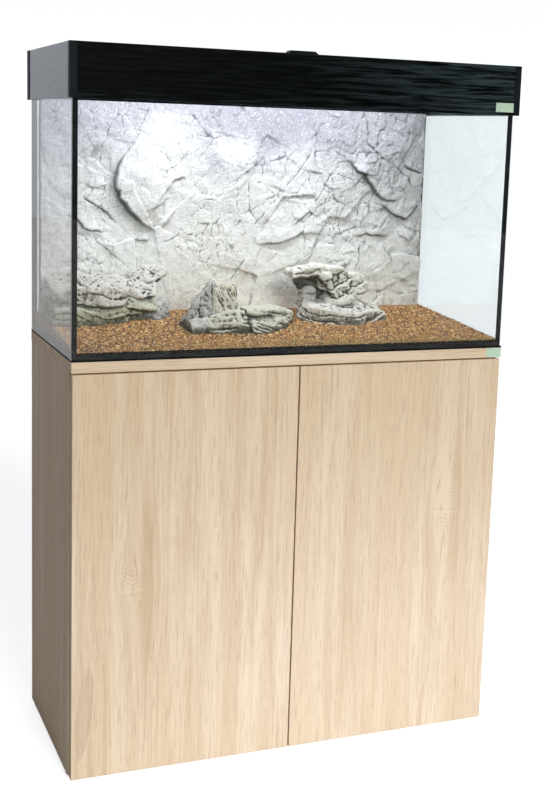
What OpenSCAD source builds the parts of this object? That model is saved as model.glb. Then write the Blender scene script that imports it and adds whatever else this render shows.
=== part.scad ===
// Aquarium with a lit cover, standing on a two-door cabinet.
// Origin: centre of the footprint, on the floor. +X is the right of the front, -Y faces the viewer, +Z is up.

/* [Tank] */
// Length of the tank along its front
tank_w = 800; // [620:10:1000]
// Depth of the tank from the front pane's face to the back pane's face
tank_d = 350; // [300:10:450]
// Height of the glass panes
tank_h = 450; // [360:10:600]
// Thickness of the upright panes
glass_t = 6; // [5:1:8]
// Thickness of the base pane
base_t = 6; // [5:1:10]
// Silicone joint between two panes
joint_t = 1; // [0.5:0.5:1.5]
// Leg of the silicone bead in the upright corners
corner_bead = 4; // [3:1:6]
// Leg of the silicone bead round the base
base_bead = 5; // [3:1:7]
// Width of the glass braces along the front and back rims
brace_w = 30; // [20:5:45]
// Depth of the braces' undersides below the rim
brace_drop = 22; // [16:1:30]
// Foam mat under the tank
mat_t = 3; // [2:1:6]

/* [Decor] */
// Gravel above the base pane, at the front
gravel_front = 8; // [7:1:30]
// Gravel above the base pane, at the back
gravel_back = 31; // [20:1:60]
// Rock wall on the back pane: thickness of its thinnest place
wall_min = 12; // [8:1:16]
// Rock wall: how far its boulders stand out beyond that
wall_relief = 26; // [10:1:30]
// How far a rock is pressed into the gravel
rock_sink = 6; // [3:1:8]

/* [Cover] */
// Height of the cover
cover_h = 87; // [75:1:110]
// How far the cover reaches down over the glass
cover_drop = 31; // [24:1:40]
// Clearance between the glass and the cover
cover_gap = 1; // [0.5:0.5:2]
// Thickness of the cover's boards
board_t = 4; // [3:1:6]
// How far the corner profiles stand proud of the boards
profile_t = 1; // [1:0.5:2]
// Width of a corner profile on the front and on the front ends of the sides
profile_leaf = 12; // [10:1:16]
// Width of the rear corner profiles on the sides
profile_rear_leaf = 18; // [12:1:24]
// Thickness of the feeding flap and of the fixed top board
top_t = 4; // [3:1:6]
// Gap along the flap's hinge line, to each side of it
flap_gap = 1; // [1:0.5:2]
// Distance of the flap's grip from the cover's front
grip_back = 46; // [30:2:80]
// Width of the flap's grip
grip_w = 55; // [40:1:80]
// Height of the flap's grip
grip_h = 7; // [5:1:10]

/* [Lamp] */
// Length of the lamp
lamp_w = 700; // [400:10:760]
// Width of the lamp
lamp_d = 44; // [36:1:60]
// Height of the lamp
lamp_h = 14; // [12:1:20]
// Distance of the lamp behind the flap's hinge line
lamp_back = 20; // [16:1:40]

/* [Cabinet] */
// Height of the carcass, under the top plate
carcass_h = 707; // [560:1:850]
// Thickness of the carcass boards
panel_t = 18; // [16:1:22]
// Thickness of the top plate
plate_t = 18; // [16:1:30]
// Thickness of the doors
door_t = 18; // [18:1:22]
// Thickness of the back panel
back_t = 3; // [3:1:5]
// Height of the gliders under the cabinet
glider_h = 5; // [4:1:10]
// Gap between the doors' backs and the carcass
door_gap = 2; // [2:0.5:4]
// How far the doors' outer edges stay inside the cabinet's sides
door_reveal = 2; // [1:0.5:4]
// Gap between the two doors
door_split = 3; // [2.5:0.5:5]
// Gap between the doors and the top plate
door_top_gap = 3; // [2:0.5:5]
// Height of the stretchers under the top plate
rail_h = 80; // [60:5:120]
// Height of the shelf's underside above the bottom panel
shelf_up = 337; // [180:1:360]

/* [Fittings] */
// Diameter of a hinge cup
cup_d = 35; // [35]
// Depth of a hinge cup in the door
cup_depth = 11; // [10:0.5:12]
// Centre of a hinge cup from the door's outer edge
cup_in = 22.5; // [21.5:0.5:24.5]
// Distance of the upper and lower hinges from the door's ends
hinge_in = 100; // [80:5:140]
// Diameter of the hinge pins
hinge_pin_d = 3; // [3]
// Clearance round a pin that turns
pin_clear = 0.05; // [0.02:0.01:0.1]
// Diameter of the door latch's plunger
plunger_d = 8; // [6:1:8]
// Bore of the lamp's supply socket
socket_bore = 5.5; // [5.5]
// Depth of the lamp's supply socket
socket_deep = 8.5; // [8.5]

/* [Hidden] */
$fn = 48;

// Halves of the footprint
hw = tank_w / 2;
hd = tank_d / 2;

// Heights, from the floor up
z_carcass = glider_h;
z_plate = z_carcass + carcass_h;
z_mat = z_plate + plate_t;
z_tank = z_mat + mat_t;
z_bed = z_tank + base_t;
z_rim = z_tank + tank_h;
z_cover = z_rim - cover_drop;
z_top = z_cover + cover_h;

// Inside of the carcass
carcass_x = hw - panel_t;
carcass_front = -hd + door_t + door_gap;
carcass_back = hd - back_t;
z_inside = z_carcass + panel_t;

// Inside faces of the glass
in_x = hw - glass_t;
in_y = hd - glass_t;

// Inside and outside faces of the cover's boards
cover_x = hw + cover_gap;
cover_y = hd + cover_gap;
board_x = cover_x + board_t;
board_y = cover_y + board_t;
outer_x = board_x + profile_t;
outer_y = board_y + profile_t;

// Doors
door_h = carcass_h - door_top_gap;
hinge_z = [z_carcass + hinge_in, z_carcass + door_h - hinge_in];

// Hinge pins, measured from the door's outer front edge: inwards along the front, then towards the back
arm_pin = [36, door_t + door_gap + 4];
cup_pin = [cup_in - 9.2, door_t - 3];
link_bends = [[cup_in - 0.5, door_t - 4.8], [cup_in + 7.5, door_t - 2.5]];
link_half = 4.6;
link_t = 2.4;
link_boss_d = hinge_pin_d + 3.4;
cup_pin_half = 13.6;
flange_t = 1;
flange_rim = 1.5;
cup_wall = 1.5;
cup_screw_z = 24;
cup_screw_long = 10;
wing = [-4, 14];
cheek_gap = 0.2;
cheek_t = 2;
cheek_w = 7;
cheek_end_d = 8;
arm_h = 11.5;
arm_back = 60;
arm_neck = 22;
base_plate_t = 2.5;
base_plate_d = 24;
base_plate_edge = 6;
plate_back = 37;
plate_screw_z = 16;
screw_d = 3.5;
screw_head_d = 6.6;
screw_head_t = 1.6;
screw_long = 13;

// Fasteners
shelf_pin_d = 5;
shelf_pin_deep = 8;
shelf_row_step = 32;
shelf_row_in = 60;
shelf_front_in = 20;
slide_in_gap = 1;
cam_d = 15;
cam_deep = 12.5;
cam_in = 34;
cam_bolt_d = 6;
cam_bolt_deep = 10;
cam_grip = cam_d / 2 - 1.5;
dowel_d = 8;
dowel_half = 12;
back_screw_d = 3;
back_screw_head_d = 6;
back_screw_long = 15;
nail_d = 2.5;
nail_long = 12;
glider_d = 16;
fitting_y = [carcass_front + 40, carcass_back - 60];
dowel_y = carcass_front + 110;
glider_x = [-hw + panel_t / 2, 0, hw - panel_t / 2];
glider_y = [carcass_front + 20, carcass_back - 25];

// Cable openings in the back panel
cut_w = 100;
cut_h = 80;
cut_in = 45;
cut_z = z_plate - rail_h - 40 - cut_h;

// Door latches under the top plate
latch_w = 16;
latch_h = 20;
latch_long = 68;
latch_x = panel_t / 2 + 4 + latch_w / 2;
latch_y = carcass_front + 2;
latch_z = z_plate - latch_h / 2 - 2;
latch_bore_long = 62;
tip_t = 3;
tip_y = -hd + door_t + 0.2;
plunger_long = 55;

// Rock wall and stones
wall_x = in_x - corner_bead - 0.5;
wall_low = z_bed + base_bead + 0.5;
wall_high = z_cover + 3;
wall_face = in_y - wall_min - wall_relief;
wall_cols = 14;
wall_rows = 9;
wall_seed = 7;

// Cover's inner parts
ledge_w = 16;
ledge_t = 6;
batten_w = 8;
batten_h = 10;
cross_batten_d = 12;
hose_cut = [60, 35];
label_t = 0.4;
cover_label_size = [36, 16];
cover_label_up = 5.5;
plate_label_size = [30, 17];
leaf_t = 1;
leaf_d = 14;
knuckle_d = 4.4;
knuckle_up = 2.2;
flap_pin_d = 2.2;
hinge_long = 60;
flap_hinge_x = hw - 150;
lamp_wall = 1.5;
lamp_z = z_top - top_t - 8 - lamp_h;
bracket = [20, 30];
bracket_x = lamp_w / 2 - 50;
led_pitch = 25;
led_size = 5;
socket_x = hw - 100;
socket_z = z_rim + 27;

// A box from its lowest corner to its highest
module block(low, high) {
    translate(low) cube(high - low);
}

// The same thing on the left and on the right
module both_sides() {
    children();
    mirror([1, 0, 0]) children();
}

// The same thing on all four corners
module four_corners() {
    both_sides() {
        children();
        mirror([0, 1, 0]) children();
    }
}

// A flat strip along a path, with mitred bends
function unit(v) = v / norm(v);
function across(v) = [-v[1], v[0]];
function before(path, i) = unit(path[max(i, 1)] - path[max(i, 1) - 1]);
function after(path, i) = unit(path[min(i + 1, len(path) - 1)] - path[min(i, len(path) - 2)]);
function edge_point(path, i, h) =
    let (m = unit(across(before(path, i)) + across(after(path, i))))
    path[i] + m * h / (m * across(before(path, i)));

module strip_2d(path, w) {
    last = len(path) - 1;
    polygon(concat([for (i = [0:last]) edge_point(path, i, w / 2)],
        [for (i = [last:-1:0]) edge_point(path, i, -w / 2)]));
}

// A cylinder along X from x0 to x1
module rod_x(x0, x1, y, z, d) {
    translate([x0, y, z]) rotate([0, 90, 0]) cylinder(d = d, h = x1 - x0);
}

// A cylinder along Y from y0 to y1
module rod_y(x, y0, y1, z, d) {
    translate([x, y0, z]) rotate([-90, 0, 0]) cylinder(d = d, h = y1 - y0);
}

// ---------- fastener places, used for the fasteners and for their holes ----------

// Cam discs and bolts: level at the bottom panel, upright at the top plate
module cam_set() {
    for (y = fitting_y) {
        both_sides() {
            translate([carcass_x - cam_in, y, z_carcass]) cylinder(d = cam_d, h = cam_deep);
            rod_x(carcass_x - cam_in + cam_grip, carcass_x + cam_bolt_deep, y, z_carcass + panel_t / 2, cam_bolt_d);
            rod_x(carcass_x, carcass_x + cam_deep, y, z_plate - cam_in, cam_d);
            translate([carcass_x + panel_t / 2, y, z_plate - cam_in + cam_grip])
                cylinder(d = cam_bolt_d, h = cam_in - cam_grip + cam_bolt_deep);
        }
        rod_x(panel_t / 2 - cam_deep, panel_t / 2, y, z_plate - cam_in, cam_d);
        translate([0, y, z_plate - cam_in + cam_grip])
            cylinder(d = cam_bolt_d, h = cam_in - cam_grip + cam_bolt_deep);
    }
}

module dowel_set() {
    both_sides() {
        rod_x(carcass_x - 1.5 * dowel_half, carcass_x + dowel_half, dowel_y, z_carcass + panel_t / 2, dowel_d);
        translate([carcass_x + panel_t / 2, dowel_y, z_plate - 1.5 * dowel_half])
            cylinder(d = dowel_d, h = 2.5 * dowel_half);
    }
    translate([0, dowel_y, z_plate - 1.5 * dowel_half]) cylinder(d = dowel_d, h = 2.5 * dowel_half);
    translate([0, dowel_y, z_inside - dowel_half]) cylinder(d = dowel_d, h = 2.5 * dowel_half);
}

// Rows of shelf holes in the faces at x, going away from the left compartment
module shelf_holes(x, way) {
    for (y = [carcass_front + shelf_row_in, carcass_back - shelf_row_in], k = [-3:3])
        rod_x(min(x, x + way * (shelf_pin_deep + 2)), max(x, x + way * (shelf_pin_deep + 2)), y,
            z_inside + shelf_up - shelf_pin_d / 2 + k * shelf_row_step, shelf_pin_d);
}

module glider_nails() {
    for (x = glider_x, y = glider_y)
        translate([x, y, z_carcass]) cylinder(d = nail_d, h = nail_long);
}

// Places of the screws that hold the back panel: x and z
function back_screw_places() = concat(
    [for (k = [0:4], s = [-1, 1]) [s * (hw - panel_t / 2), z_carcass + 40 + k * (carcass_h - 80) / 4]],
    [for (k = [0:2]) [0, z_carcass + 90 + k * (carcass_h - 180) / 2]]
);

module back_screws() {
    for (p = back_screw_places()) {
        rod_y(p[0], carcass_back - back_screw_long, carcass_back, p[1], back_screw_d);
        rod_y(p[0], carcass_back, hd, p[1], back_screw_head_d);
    }
}

// Both hinges of the left door, drawn from the door's outer front edge
module at_hinges() {
    for (z = hinge_z) translate([-hw + door_reveal, -hd, z]) children();
}

// Screws of one hinge's mounting plate
module plate_screws() {
    face = panel_t - door_reveal + base_plate_t;
    for (s = [-1, 1]) {
        rod_x(face - screw_long, face, door_t + door_gap + plate_back, s * plate_screw_z, screw_d);
        rod_x(face, face + screw_head_t, door_t + door_gap + plate_back, s * plate_screw_z, screw_head_d);
    }
}

// Screws of one hinge's cup
module cup_screws() {
    for (s = [-1, 1]) {
        rod_y(cup_in + 5, door_t + flange_t - cup_screw_long, door_t + flange_t, s * cup_screw_z, screw_d);
        rod_y(cup_in + 5, door_t + flange_t, door_t + flange_t + 1, s * cup_screw_z, screw_head_d);
    }
}

// ---------- cabinet ----------

module oak() {
    color([0.86, 0.77, 0.63]) children();
}

module side_panel_blank() {
    difference() {
        block([-hw, carcass_front, z_carcass], [-carcass_x, carcass_back, z_plate]);
        at_hinges() plate_screws();
    }
}

module left_side_panel() {
    oak() difference() {
        side_panel_blank();
        cam_set();
        dowel_set();
        shelf_holes(-carcass_x, -1);
        glider_nails();
        back_screws();
    }
}

module right_side_panel() {
    oak() difference() {
        mirror([1, 0, 0]) side_panel_blank();
        cam_set();
        dowel_set();
        glider_nails();
        back_screws();
    }
}

module bottom_panel() {
    oak() difference() {
        block([-carcass_x, carcass_front, z_carcass], [carcass_x, carcass_back, z_inside]);
        cam_set();
        dowel_set();
        glider_nails();
    }
}

module centre_partition() {
    oak() difference() {
        block([-panel_t / 2, carcass_front, z_inside], [panel_t / 2, carcass_back, z_plate]);
        cam_set();
        dowel_set();
        shelf_holes(-panel_t / 2, 1);
        back_screws();
    }
}

module top_plate() {
    oak() difference() {
        block([-hw, -hd, z_plate], [hw, hd, z_mat]);
        cam_set();
        dowel_set();
    }
}

module back_rails() {
    oak() both_sides()
        block([panel_t / 2, carcass_back - panel_t, z_plate - rail_h], [carcass_x, carcass_back, z_plate]);
}

module cable_cut() {
    block([carcass_x - cut_in - cut_w, carcass_back - 1, cut_z], [carcass_x - cut_in, hd + 1, cut_z + cut_h]);
}

module back_panel() {
    color([0.80, 0.78, 0.74]) difference() {
        block([-hw + 1, carcass_back, z_carcass + 1], [hw - 1, hd, z_plate - 1]);
        both_sides() cable_cut();
        back_screws();
    }
}

module shelf() {
    oak() block([-carcass_x + slide_in_gap, carcass_front + shelf_front_in, z_inside + shelf_up],
        [-panel_t / 2 - slide_in_gap, carcass_back - slide_in_gap, z_inside + shelf_up + panel_t]);
}

module shelf_pins() {
    pin_z = z_inside + shelf_up - shelf_pin_d / 2;
    color("silver") for (y = [carcass_front + shelf_row_in, carcass_back - shelf_row_in]) {
        rod_x(-carcass_x - shelf_pin_deep, -carcass_x + shelf_pin_deep, y, pin_z, shelf_pin_d);
        rod_x(-panel_t / 2 - shelf_pin_deep, -panel_t / 2 + shelf_pin_deep, y, pin_z, shelf_pin_d);
    }
}

module gliders() {
    color([0.25, 0.22, 0.2]) {
        for (x = glider_x, y = glider_y) translate([x, y, 0]) cylinder(d = glider_d, h = glider_h);
        glider_nails();
    }
}

module cam_fittings() {
    color("silver") cam_set();
}

module dowels() {
    color([0.8, 0.68, 0.48]) dowel_set();
}

module back_panel_screws() {
    color("silver") back_screws();
}

module plate_label() {
    color([0.78, 0.9, 0.72]) translate([hw - 1 - plate_label_size[0], -hd - label_t, z_plate + 0.5])
        cube([plate_label_size[0], label_t, plate_label_size[1]]);
}

// ---------- doors and their fittings ----------

module hinge_plate() {
    face = panel_t - door_reveal;
    middle = door_t + door_gap + plate_back;
    reach = plate_screw_z + base_plate_edge;
    difference() {
        block([face, middle - base_plate_d / 2, -reach], [face + base_plate_t, middle + base_plate_d / 2, reach]);
        plate_screws();
    }
}

module hinge_plates() {
    color("silver") both_sides() at_hinges() hinge_plate();
}

// The arm clips on the plate; its two cheeks hold the link's pin
module hinge_arm() {
    foot = panel_t - door_reveal + base_plate_t;
    outer = link_half + cheek_gap + cheek_t;
    neck = [foot + arm_h / 2, arm_pin[1] + arm_neck + 4];
    difference() {
        union() {
            block([foot, arm_pin[1] + arm_neck, -outer], [foot + arm_h, arm_pin[1] + arm_back, outer]);
            for (s = [0, 1]) mirror([0, 0, s]) translate([0, 0, link_half + cheek_gap])
                linear_extrude(cheek_t) {
                    strip_2d([arm_pin, neck], cheek_w);
                    translate(arm_pin) circle(d = cheek_end_d);
                }
        }
        hinge_arm_pin();
    }
}

module hinge_arm_pin() {
    translate([arm_pin[0], arm_pin[1], -link_half - cheek_gap - cheek_t])
        cylinder(d = hinge_pin_d, h = 2 * (link_half + cheek_gap + cheek_t));
}

module hinge_arms() {
    color("silver") both_sides() at_hinges() hinge_arm();
}

module hinge_arm_pins() {
    color("gray") both_sides() at_hinges() hinge_arm_pin();
}

module hinge_screws() {
    color("gray") both_sides() at_hinges() plate_screws();
}

// The link bends round the cup's rim and the door's edge
module hinge_link() {
    linear_extrude(2 * link_half, center = true) difference() {
        union() {
            translate(cup_pin) circle(d = link_boss_d);
            translate(arm_pin) circle(d = link_boss_d);
            strip_2d(concat([cup_pin], link_bends, [arm_pin]), link_t);
        }
        translate(cup_pin) circle(d = hinge_pin_d + 2 * pin_clear);
        translate(arm_pin) circle(d = hinge_pin_d + 2 * pin_clear);
    }
}

module left_hinge_links() {
    color("silver") at_hinges() hinge_link();
}

module right_hinge_links() {
    color("silver") mirror([1, 0, 0]) at_hinges() hinge_link();
}

module hinge_cup_pin() {
    translate([cup_pin[0], cup_pin[1], -cup_pin_half]) cylinder(d = hinge_pin_d, h = 2 * cup_pin_half);
}

module hinge_cup() {
    difference() {
        union() {
            rod_y(cup_in, door_t - cup_depth, door_t, 0, cup_d);
            rod_y(cup_in, door_t, door_t + flange_t, 0, cup_d + 2 * flange_rim);
            block([cup_in + wing[0], door_t, -cup_screw_z - 5], [cup_in + wing[1], door_t + flange_t, cup_screw_z + 5]);
        }
        rod_y(cup_in, door_t - cup_depth + cup_wall, door_t + flange_t + 1, 0, cup_d - 2 * cup_wall);
        hinge_cup_pin();
        cup_screws();
    }
    cup_screws();
    hinge_cup_pin();
}

module left_hinge_cups() {
    color("silver") at_hinges() hinge_cup();
}

module right_hinge_cups() {
    color("silver") mirror([1, 0, 0]) at_hinges() hinge_cup();
}

module door_blank() {
    difference() {
        block([-hw + door_reveal, -hd, z_carcass], [-door_split / 2, -hd + door_t, z_carcass + door_h]);
        at_hinges() {
            rod_y(cup_in, door_t - cup_depth, door_t + 1, 0, cup_d);
            cup_screws();
        }
    }
}

module left_door() {
    oak() door_blank();
}

module right_door() {
    oak() mirror([1, 0, 0]) door_blank();
}

module latch_housings() {
    color([0.85, 0.85, 0.83]) both_sides() difference() {
        block([latch_x - latch_w / 2, latch_y, latch_z - latch_h / 2], [latch_x + latch_w / 2, latch_y + latch_long, z_plate]);
        rod_y(latch_x, latch_y - 1, latch_y + latch_bore_long, latch_z, plunger_d + 2 * pin_clear);
    }
}

module plunger() {
    rod_y(latch_x, tip_y, tip_y + tip_t, latch_z, plunger_d + 2);
    rod_y(latch_x, tip_y + tip_t, tip_y + tip_t + plunger_long, latch_z, plunger_d);
}

module left_plunger() {
    color("white") mirror([1, 0, 0]) plunger();
}

module right_plunger() {
    color("white") plunger();
}

// ---------- tank ----------

module pane() {
    color([0.8, 0.9, 0.88, 0.35]) children();
}

module foam_mat() {
    color([0.08, 0.08, 0.08]) block([-hw, -hd, z_mat], [hw, hd, z_tank]);
}

module base_pane() {
    pane() block([-in_x + joint_t, -in_y + joint_t, z_tank], [in_x - joint_t, in_y - joint_t, z_bed]);
}

module front_pane() {
    pane() block([-hw, -hd, z_tank], [hw, -in_y, z_rim]);
}

module back_pane() {
    pane() block([-hw, in_y, z_tank], [hw, hd, z_rim]);
}

module side_pane() {
    block([in_x, -in_y + joint_t, z_tank], [hw, in_y - joint_t, z_rim]);
}

module left_pane() {
    pane() mirror([1, 0, 0]) side_pane();
}

module right_pane() {
    pane() side_pane();
}

module glass_braces() {
    x = in_x - corner_bead - 1;
    z = z_rim - brace_drop;
    pane() for (s = [0, 1]) mirror([0, s, 0]) block([-x, in_y - brace_w, z], [x, in_y, z + glass_t]);
}

// One corner's joint and bead, seen from above
module corner_seam_2d() {
    polygon([[hw, in_y], [in_x - corner_bead, in_y], [in_x, in_y - corner_bead],
        [in_x, in_y - joint_t], [hw, in_y - joint_t]]);
}

// A triangular bead along X
module bead(long) {
    rotate([90, 0, 90]) linear_extrude(long, center = true) polygon([[0, 0], [base_bead, 0], [0, base_bead]]);
}

module silicone_seams() {
    color([0.03, 0.03, 0.03]) difference() {
        union() {
            translate([0, 0, z_tank]) linear_extrude(tank_h) four_corners() corner_seam_2d();
            block([-in_x, -in_y, z_tank], [in_x, in_y, z_bed]);
            for (a = [0, 180]) rotate(a) {
                translate([0, -in_y, z_bed]) bead(2 * in_x);
                translate([in_x, 0, z_bed]) rotate(90) bead(2 * in_y);
            }
        }
        base_pane();
    }
}

// ---------- decor ----------

// Height of the gravel's surface
function ground(y) = z_bed + gravel_front
    + (gravel_back - gravel_front) * (y + in_y) / (2 * in_y - wall_min);

module gravel() {
    y_back = in_y - wall_min;
    color([0.62, 0.45, 0.3]) difference() {
        rotate([90, 0, 90]) linear_extrude(2 * in_x, center = true)
            polygon([[-in_y, z_bed], [y_back, z_bed], [y_back, ground(y_back)], [-in_y, ground(-in_y)]]);
        silicone_seams();
    }
}

// The rock wall: a slab whose front stands out by a different amount at each point of a grid
wall_bumps = rands(0.15, 1, (wall_cols + 1) * (wall_rows + 1), wall_seed);
function wall_foot() = ground(in_y - wall_min) + 4;
function wall_z(j) = j == 0 ? wall_low : wall_foot() + (wall_high - wall_foot()) * (j - 1) / (wall_rows - 1);
function wall_bump(i, j) = j < 2 ? 0 : wall_bumps[i * (wall_rows + 1) + j];
function wall_point(i, j) = [
    -wall_x + 2 * wall_x * i / wall_cols, in_y - wall_min - wall_relief * wall_bump(i, j), wall_z(j)
];

module rock_wall() {
    rows = wall_rows + 1;
    cols = wall_cols + 1;
    front = [for (i = [0:wall_cols], j = [0:wall_rows]) wall_point(i, j)];
    back = [for (p = front) [p[0], in_y, p[2]]];
    n = rows * cols;
    cells = [for (i = [0:wall_cols - 1], j = [0:wall_rows - 1]) i * rows + j];
    color([0.8, 0.8, 0.82]) polyhedron(concat(front, back), concat(
        [for (c = cells) [c, c + 1, c + rows]],
        [for (c = cells) [c + 1, c + rows + 1, c + rows]],
        [for (c = cells) [n + c, n + c + rows, n + c + 1]],
        [for (c = cells) [n + c + 1, n + c + rows, n + c + rows + 1]],
        [for (j = [0:wall_rows - 1]) [j, n + j, n + j + 1]],
        [for (j = [0:wall_rows - 1]) [j, n + j + 1, j + 1]],
        [for (j = [0:wall_rows - 1]) let (c = wall_cols * rows + j) [c, n + c + 1, n + c]],
        [for (j = [0:wall_rows - 1]) let (c = wall_cols * rows + j) [c, c + 1, n + c + 1]],
        [for (i = [0:wall_cols - 1]) let (c = i * rows) [c, n + c + rows, n + c]],
        [for (i = [0:wall_cols - 1]) let (c = i * rows) [c, c + rows, n + c + rows]],
        [for (i = [0:wall_cols - 1]) let (c = i * rows + wall_rows) [c, n + c, n + c + rows]],
        [for (i = [0:wall_cols - 1]) let (c = i * rows + wall_rows) [c, n + c + rows, c + rows]]
    ));
}

// A stone round balls: each place is x, distance in front of the rock wall, height above the gravel
module stone(places, r) {
    hull() for (p = places) {
        y = wall_face - p[1];
        translate([p[0], y, ground(y) + p[2] + r - rock_sink]) sphere(r = r, $fn = 14);
    }
}

module stone_color() {
    color([0.7, 0.7, 0.62]) children();
}

module left_rock() {
    stone_color() translate([-in_x, 0, 0])
        stone([[15, 100, 0], [15, 15, 0], [220, 18, 0], [205, 65, 0], [50, 105, 0],
            [60, 70, 60], [115, 60, 62], [165, 40, 36]], 12);
}

module middle_rock() {
    stone_color() stone([[-150, 175, 0], [-75, 180, 0], [-70, 100, 0], [-140, 95, 0],
        [-95, 115, 62], [-72, 110, 58], [-125, 120, 36]], 10);
}

module slab_rock() {
    stone_color() stone([[-44, 200, 0], [-44, 150, 0], [50, 130, 0], [50, 100, 0],
        [0, 160, 9], [20, 120, 8]], 7);
}

module right_rock() {
    stone_color() {
        union() {
            stone([[112, 125, 0], [150, 148, 0], [240, 118, 0], [240, 70, 0], [115, 75, 0],
                [160, 110, 13], [220, 95, 13]], 9);
            stone([[165, 85, 6], [235, 80, 6], [235, 35, 6], [165, 30, 6], [170, 60, 68], [215, 55, 54]], 10);
            stone([[78, 75, 72], [100, 60, 80], [150, 60, 72], [160, 45, 52]], 8);
        }
        stone([[104, 48, 0], [126, 46, 0], [114, 47, 24]], 9);
    }
}

// ---------- cover ----------

module black_board() {
    color([0.1, 0.1, 0.11]) children();
}

module cover_front() {
    black_board() block([-cover_x, -board_y, z_cover], [cover_x, -cover_y, z_top]);
}

module cover_back() {
    black_board() difference() {
        block([-cover_x, cover_y, z_cover], [cover_x, board_y, z_top]);
        rod_y(socket_x, cover_y - 1, board_y + 1, socket_z, socket_bore + 3);
    }
}

module cover_side() {
    block([cover_x, -cover_y, z_cover], [board_x, cover_y, z_top]);
}

module cover_left() {
    black_board() mirror([1, 0, 0]) cover_side();
}

module cover_right() {
    black_board() cover_side();
}

// A corner profile from its outer corner: a square core, one leaf along X and one along Y
module corner_profile_2d(leaf_x, leaf_y) {
    core = board_t + profile_t;
    polygon([[0, 0], [-leaf_x, 0], [-leaf_x, -profile_t], [-core, -profile_t], [-core, -core],
        [-profile_t, -core], [-profile_t, -leaf_y], [0, -leaf_y]]);
}

module corner_profiles() {
    color([0.14, 0.15, 0.16]) translate([0, 0, z_cover]) linear_extrude(cover_h) both_sides() {
        translate([outer_x, outer_y]) corner_profile_2d(profile_leaf, profile_rear_leaf);
        mirror([0, 1]) translate([outer_x, outer_y]) corner_profile_2d(profile_leaf, profile_leaf);
    }
}

// Ledges that rest on the glass
module rim_ledges() {
    black_board() for (s = [0, 1]) {
        mirror([0, s, 0]) block([-cover_x, cover_y - ledge_w, z_rim], [cover_x, cover_y, z_rim + ledge_t]);
        mirror([s, 0, 0])
            block([cover_x - ledge_w, -cover_y + ledge_w, z_rim], [cover_x, cover_y - ledge_w, z_rim + ledge_t]);
    }
}

// Battens that carry the flap and the fixed top board
module top_battens() {
    high = z_top - top_t;
    black_board() {
        both_sides() block([cover_x - batten_w, -cover_y, high - batten_h], [cover_x, cover_y, high]);
        block([-cover_x + batten_w, flap_gap, high - batten_h],
            [cover_x - batten_w, flap_gap + cross_batten_d, high]);
    }
}

module rear_top() {
    x = cover_x - batten_w;
    black_board() difference() {
        block([-cover_x, flap_gap, z_top - top_t], [cover_x, cover_y, z_top]);
        block([x - hose_cut[0], cover_y - hose_cut[1], z_top - top_t - 1], [x, cover_y + 1, z_top + 1]);
    }
}

module cover_label() {
    x = outer_x - profile_leaf;
    color([0.78, 0.9, 0.72]) translate([x - cover_label_size[0], -board_y - label_t, z_cover + cover_label_up])
        cube([cover_label_size[0], label_t, cover_label_size[1]]);
}

module supply_socket() {
    color([0.2, 0.2, 0.2]) difference() {
        union() {
            rod_y(socket_x, board_y - socket_deep - 1.5, board_y, socket_z, socket_bore + 3);
            rod_y(socket_x, cover_y - 2, cover_y, socket_z, socket_bore + 7);
        }
        rod_y(socket_x, board_y - socket_deep, board_y + 1, socket_z, socket_bore);
    }
}

// ---------- lamp ----------

module lamp_housing() {
    wall = lamp_wall;
    color([0.75, 0.76, 0.78]) difference() {
        block([-lamp_w / 2, lamp_back, lamp_z], [lamp_w / 2, lamp_back + lamp_d, lamp_z + lamp_h]);
        block([-lamp_w / 2 + wall, lamp_back + wall, lamp_z - 1],
            [lamp_w / 2 - wall, lamp_back + lamp_d - wall, lamp_z + lamp_h - wall]);
    }
}

module lamp_brackets() {
    middle = lamp_back + lamp_d / 2;
    black_board() both_sides()
        block([bracket_x - bracket[0] / 2, middle - bracket[1] / 2, lamp_z + lamp_h],
            [bracket_x + bracket[0] / 2, middle + bracket[1] / 2, z_top - top_t]);
}

module led_strip() {
    middle = lamp_back + lamp_d / 2;
    high = lamp_z + lamp_h - lamp_wall;
    half = lamp_w / 2 - 10;
    count = floor((half - led_size) / led_pitch);
    color([0.95, 0.95, 0.9]) {
        block([-half, middle - led_size - 1, high - 1.5], [half, middle + led_size + 1, high]);
        for (k = [-count:count])
            translate([k * led_pitch - led_size / 2, middle - led_size / 2, high - 2.3])
                cube([led_size, led_size, 0.8]);
    }
}

module lamp_diffuser() {
    wall = lamp_wall;
    color([1, 1, 0.97]) block([-lamp_w / 2 + wall, lamp_back + wall, lamp_z],
        [lamp_w / 2 - wall, lamp_back + lamp_d - wall, lamp_z + wall]);
}

// ---------- feeding flap ----------

module feeding_flap() {
    black_board() block([-cover_x + flap_gap, -cover_y + flap_gap, z_top - top_t],
        [cover_x - flap_gap, -flap_gap, z_top]);
}

module flap_grip() {
    grip_d = 26;
    slope = 5;
    y = -outer_y + grip_back;
    black_board() hull() {
        translate([-grip_w / 2, y - grip_d / 2, z_top]) cube([grip_w, grip_d, 1]);
        translate([-grip_w / 2 + slope, y - grip_d / 2 + slope, z_top])
            cube([grip_w - 2 * slope, grip_d - 2 * slope, grip_h]);
    }
}

// Leaves and knuckles of the flap's two hinges, drawn behind the hinge line; thirds picks the knuckles
module hinge_leaf(thirds) {
    step = hinge_long / 3;
    both_sides() translate([flap_hinge_x - hinge_long / 2, 0, z_top]) difference() {
        union() {
            translate([0, knuckle_d / 2 + 0.4, 0]) cube([hinge_long, leaf_d, leaf_t]);
            for (k = thirds) {
                rod_x(k * step + 0.2, (k + 1) * step - 0.2, 0, knuckle_up, knuckle_d);
                translate([k * step + 0.2, 0, 0]) cube([step - 0.4, knuckle_d / 2 + 0.4, leaf_t]);
            }
        }
        rod_x(-1, hinge_long + 1, 0, knuckle_up, flap_pin_d + 2 * pin_clear);
    }
}

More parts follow.
